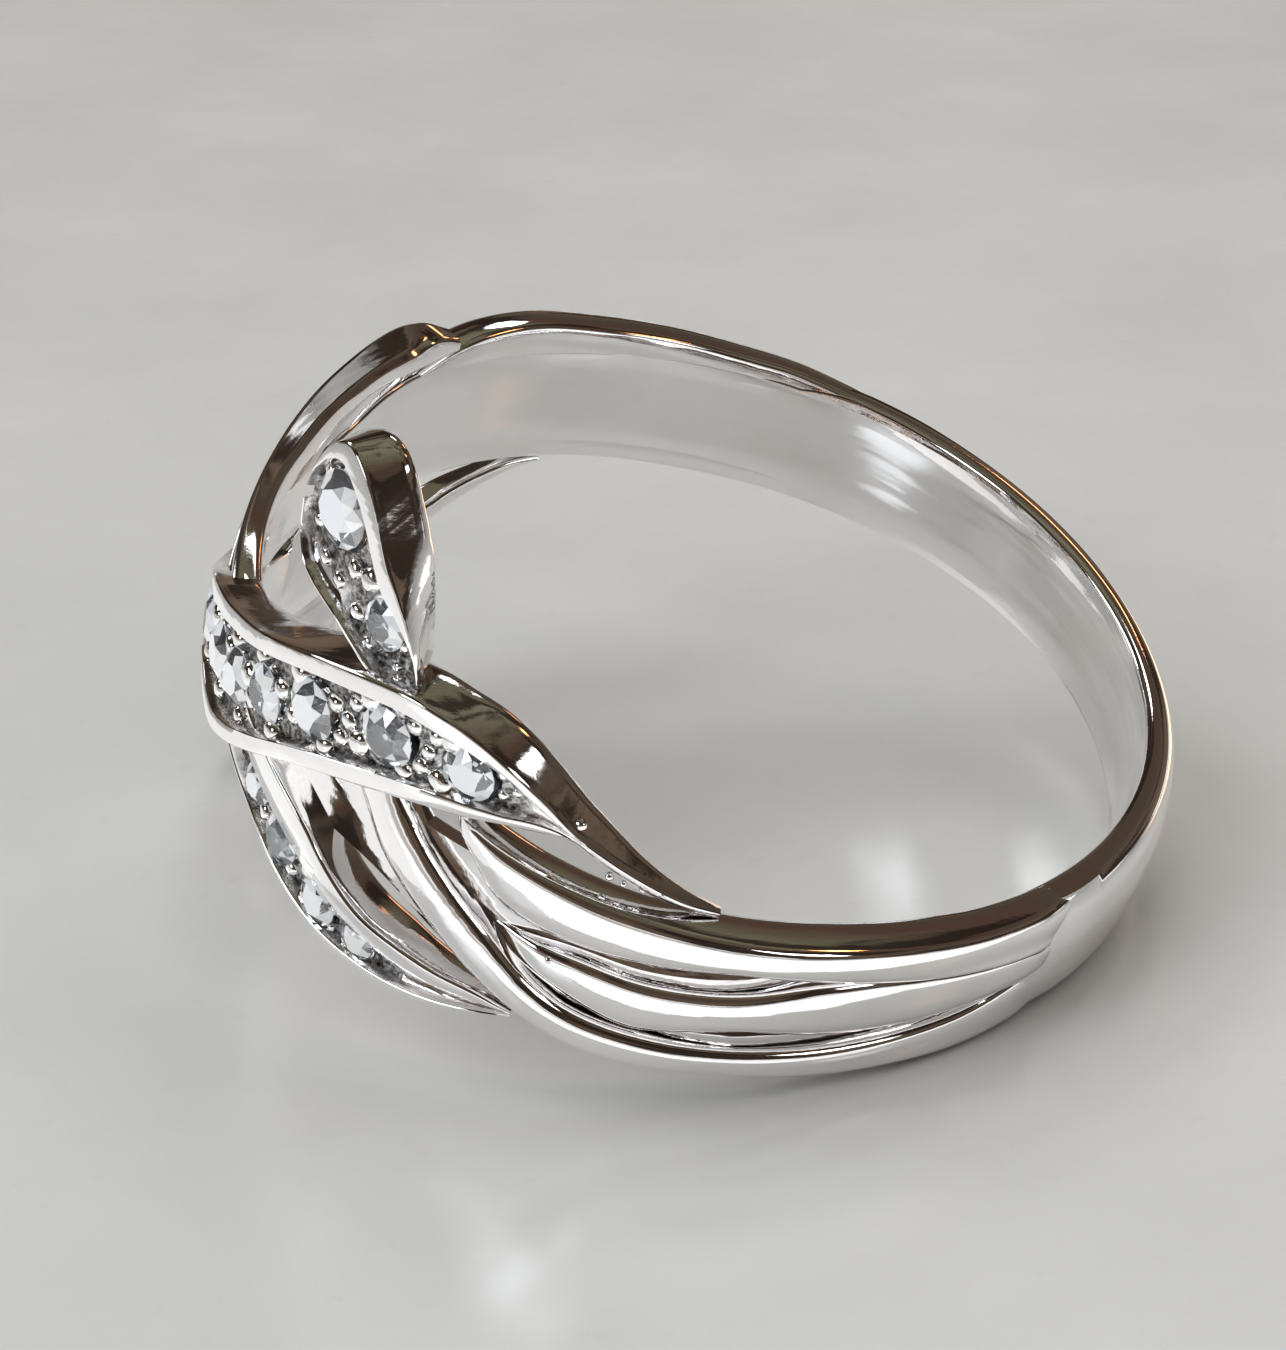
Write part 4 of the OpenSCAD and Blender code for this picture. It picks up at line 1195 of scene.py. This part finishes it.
# darker shapes in the room: colour, noise scale, where they set in, how dark
DARK_SHAPE = (0.022, 0.016, 0.013)
SHAPES, SHAPE_FROM, SHAPE_WHOLE, SHAPE_SHARE = 3.1, 0.48, 0.55, 0.85


def room():
    w = bpy.data.worlds.new("room")
    bpy.context.scene.world = w
    w.use_nodes = True
    n, l = w.node_tree.nodes, w.node_tree.links
    n.clear()
    out, bg = n.new("ShaderNodeOutputWorld"), n.new("ShaderNodeBackground")
    l.new(bg.outputs[0], out.inputs["Surface"])
    way = n.new("ShaderNodeTexCoord").outputs["Generated"]
    xyz = n.new("ShaderNodeSeparateXYZ")
    l.new(way, xyz.inputs[0])
    ramp = n.new("ShaderNodeValToRGB")
    l.new(span(n, l, xyz.outputs["Z"], RAMP_FROM, 1, 0, 1), ramp.inputs["Fac"])
    stops = ramp.color_ramp.elements
    while len(stops) < len(ROOM_STOPS):
        stops.new(0.5)
    for k, (height, colour) in enumerate(ROOM_STOPS):
        stops[k].position = height
        stops[k].color = (*colour, 1)
    shapes = span(n, l, noise(n, l, way, SHAPES, 2), SHAPE_FROM, SHAPE_WHOLE, 0, SHAPE_SHARE)
    l.new(blend(n, l, shapes, ramp.outputs["Color"], DARK_SHAPE, "RGBA"), bg.inputs["Color"])
    bg.inputs["Strength"].default_value = 1.0
    return w


print("world", room().name)

# %% [markdown]
# Daylight comes from all sides. It keeps the counter pale and is left out of
# reflections, which would otherwise fill with it. The windows and lamps are
# small and are mirrored: they make the white patches and the orange glints.
# Three faint sheets of light lie on the counter and are seen only in the
# metal, two pale ones for the low walls and a warm one behind the ring. The
# plain display transform keeps whites white, as the photograph does.

# %% Lights
DAY_COLOUR, DAY_AWAY = (0.985, 0.995, 1.0), 0.90
# columns: name, azimuth and height in degrees, size, brightness
DAYLIGHTS = [
    ["front_day", -120, 56, 0.90, 0.98], ["back_day", 70, 48, 0.75, 0.95],
    ["left_day", 172, 44, 0.70, 0.88], ["right_day", -15, 44, 0.70, 0.76],
    ["top_day", 60, 86, 0.40, 1.7],
]
# columns: name, azimuth and height in degrees, distance, size, brightness, colour
WINDOWS = [
    ["left_window", 140, 42, 0.90, (0.40, 0.32), 3.4, (0.97, 0.985, 1.0)],
    ["cool_window", -152, 30, 0.75, (0.24, 0.24), 5.0, (0.86, 0.93, 1.0)],
    ["front_window", -60, 32, 0.90, (0.21, 0.15), 4.0, (1.0, 0.99, 0.97)],
    ["side_window", 64, 52, 0.60, (0.09, 0.07), 4.5, (0.97, 1.0, 1.0)],
    ["warm_lamp", -27, 54, 0.20, (0.02, 0.02), 5.0, (1.0, 0.42, 0.16)],
    ["warm_lamp_far", 46, 28, 0.20, (0.03, 0.015), 3.0, (1.0, 0.45, 0.2)],
]
GLOW_Z = 0.00006
# columns: name, place, size, brightness, colour
GLOWS = [
    ["front_glow", (0.002, -0.026), (0.056, 0.030), 0.50, (1, 1, 1)],
    ["left_glow", (-0.028, -0.001), (0.030, 0.044), 0.28, (1, 1, 1)],
    ["warm_glow", (0.030, 0.020), (0.026, 0.030), 1.50, (1.0, 0.50, 0.24)],
]
RING_MIDDLE = Vector((0, 0, 0.004))


def light_sheet(name, at, facing, size, radiance, colour, mirrored=True):
    """A rectangle of light that keeps its brightness whatever its size."""
    data = bpy.data.lights.new(name, "AREA")
    data.shape = "RECTANGLE"
    data.size, data.size_y = size
    data.energy = math.pi * size[0] * size[1] * radiance
    data.color = colour
    ob = new_object(name, data)
    ob.location = at
    ob.rotation_euler = Vector(facing).to_track_quat("-Z", "Y").to_euler()
    ob.visible_camera = False
    ob.visible_glossy = mirrored
    ob.visible_transmission = mirrored
    return ob


def soft_light(name, azimuth, height, distance, size, radiance, colour, mirrored=True):
    """A rectangle of light, by its direction in degrees as seen from the ring."""
    a, h = math.radians(azimuth), math.radians(height)
    at = Vector((math.cos(a) * math.cos(h), math.sin(a) * math.cos(h), math.sin(h))) * distance
    return light_sheet(name, at, RING_MIDDLE - at, size, radiance, colour, mirrored)


for name, azimuth, height, size, radiance in DAYLIGHTS:
    soft_light(name, azimuth, height, DAY_AWAY, (size, size), radiance, DAY_COLOUR, mirrored=False)
for row in WINDOWS:
    soft_light(*row)
for name, place, size, radiance, colour in GLOWS:
    light_sheet(name, (*place, GLOW_Z), (0, 0, 1), size, radiance, colour)
settings = bpy.context.scene.view_settings
settings.view_transform = "Standard"
settings.look = "Medium High Contrast"
print("lights", len(DAYLIGHTS) + len(WINDOWS) + len(GLOWS))

# %% [markdown]
# The camera stands where the photo was taken: about seven centimetres away
# and a little to the left of the ring, looking down by 26 degrees and tipped
# by two. Its place and its three turns are worked into one matrix, which is
# easier to check than three angles in a fixed order.

# %% Camera
PHOTO_H = 1350
FOCAL_PX = 3623
SENSOR_H = 24.0
CAM_AT = (-12.18, -61.97, 34.86)
CAM_AZIMUTH, CAM_DOWN, CAM_ROLL = -10.15, 25.89, -2.02

cam_data = bpy.data.cameras.new("camera")
cam_data.sensor_fit = "VERTICAL"
cam_data.sensor_height = SENSOR_H
cam_data.lens = SENSOR_H * FOCAL_PX / PHOTO_H
cam_data.clip_start = 0.001
cam = new_object("camera", cam_data)
az, el, roll = (math.radians(x) for x in (CAM_AZIMUTH, CAM_DOWN, CAM_ROLL))
look = Vector((-math.sin(az) * math.cos(el), math.cos(az) * math.cos(el), -math.sin(el)))
right = look.cross(Vector((0, 0, 1))).normalized()
up = right.cross(look)
across = right * math.cos(roll) + up * math.sin(roll)
upward = up * math.cos(roll) - right * math.sin(roll)
cam.matrix_world = Matrix((
    (across.x, upward.x, -look.x, CAM_AT[0] * MM),
    (across.y, upward.y, -look.y, CAM_AT[1] * MM),
    (across.z, upward.z, -look.z, CAM_AT[2] * MM),
    (0, 0, 0, 1)))
bpy.context.scene.camera = cam
print("camera at", tuple(round(x, 4) for x in cam.location))
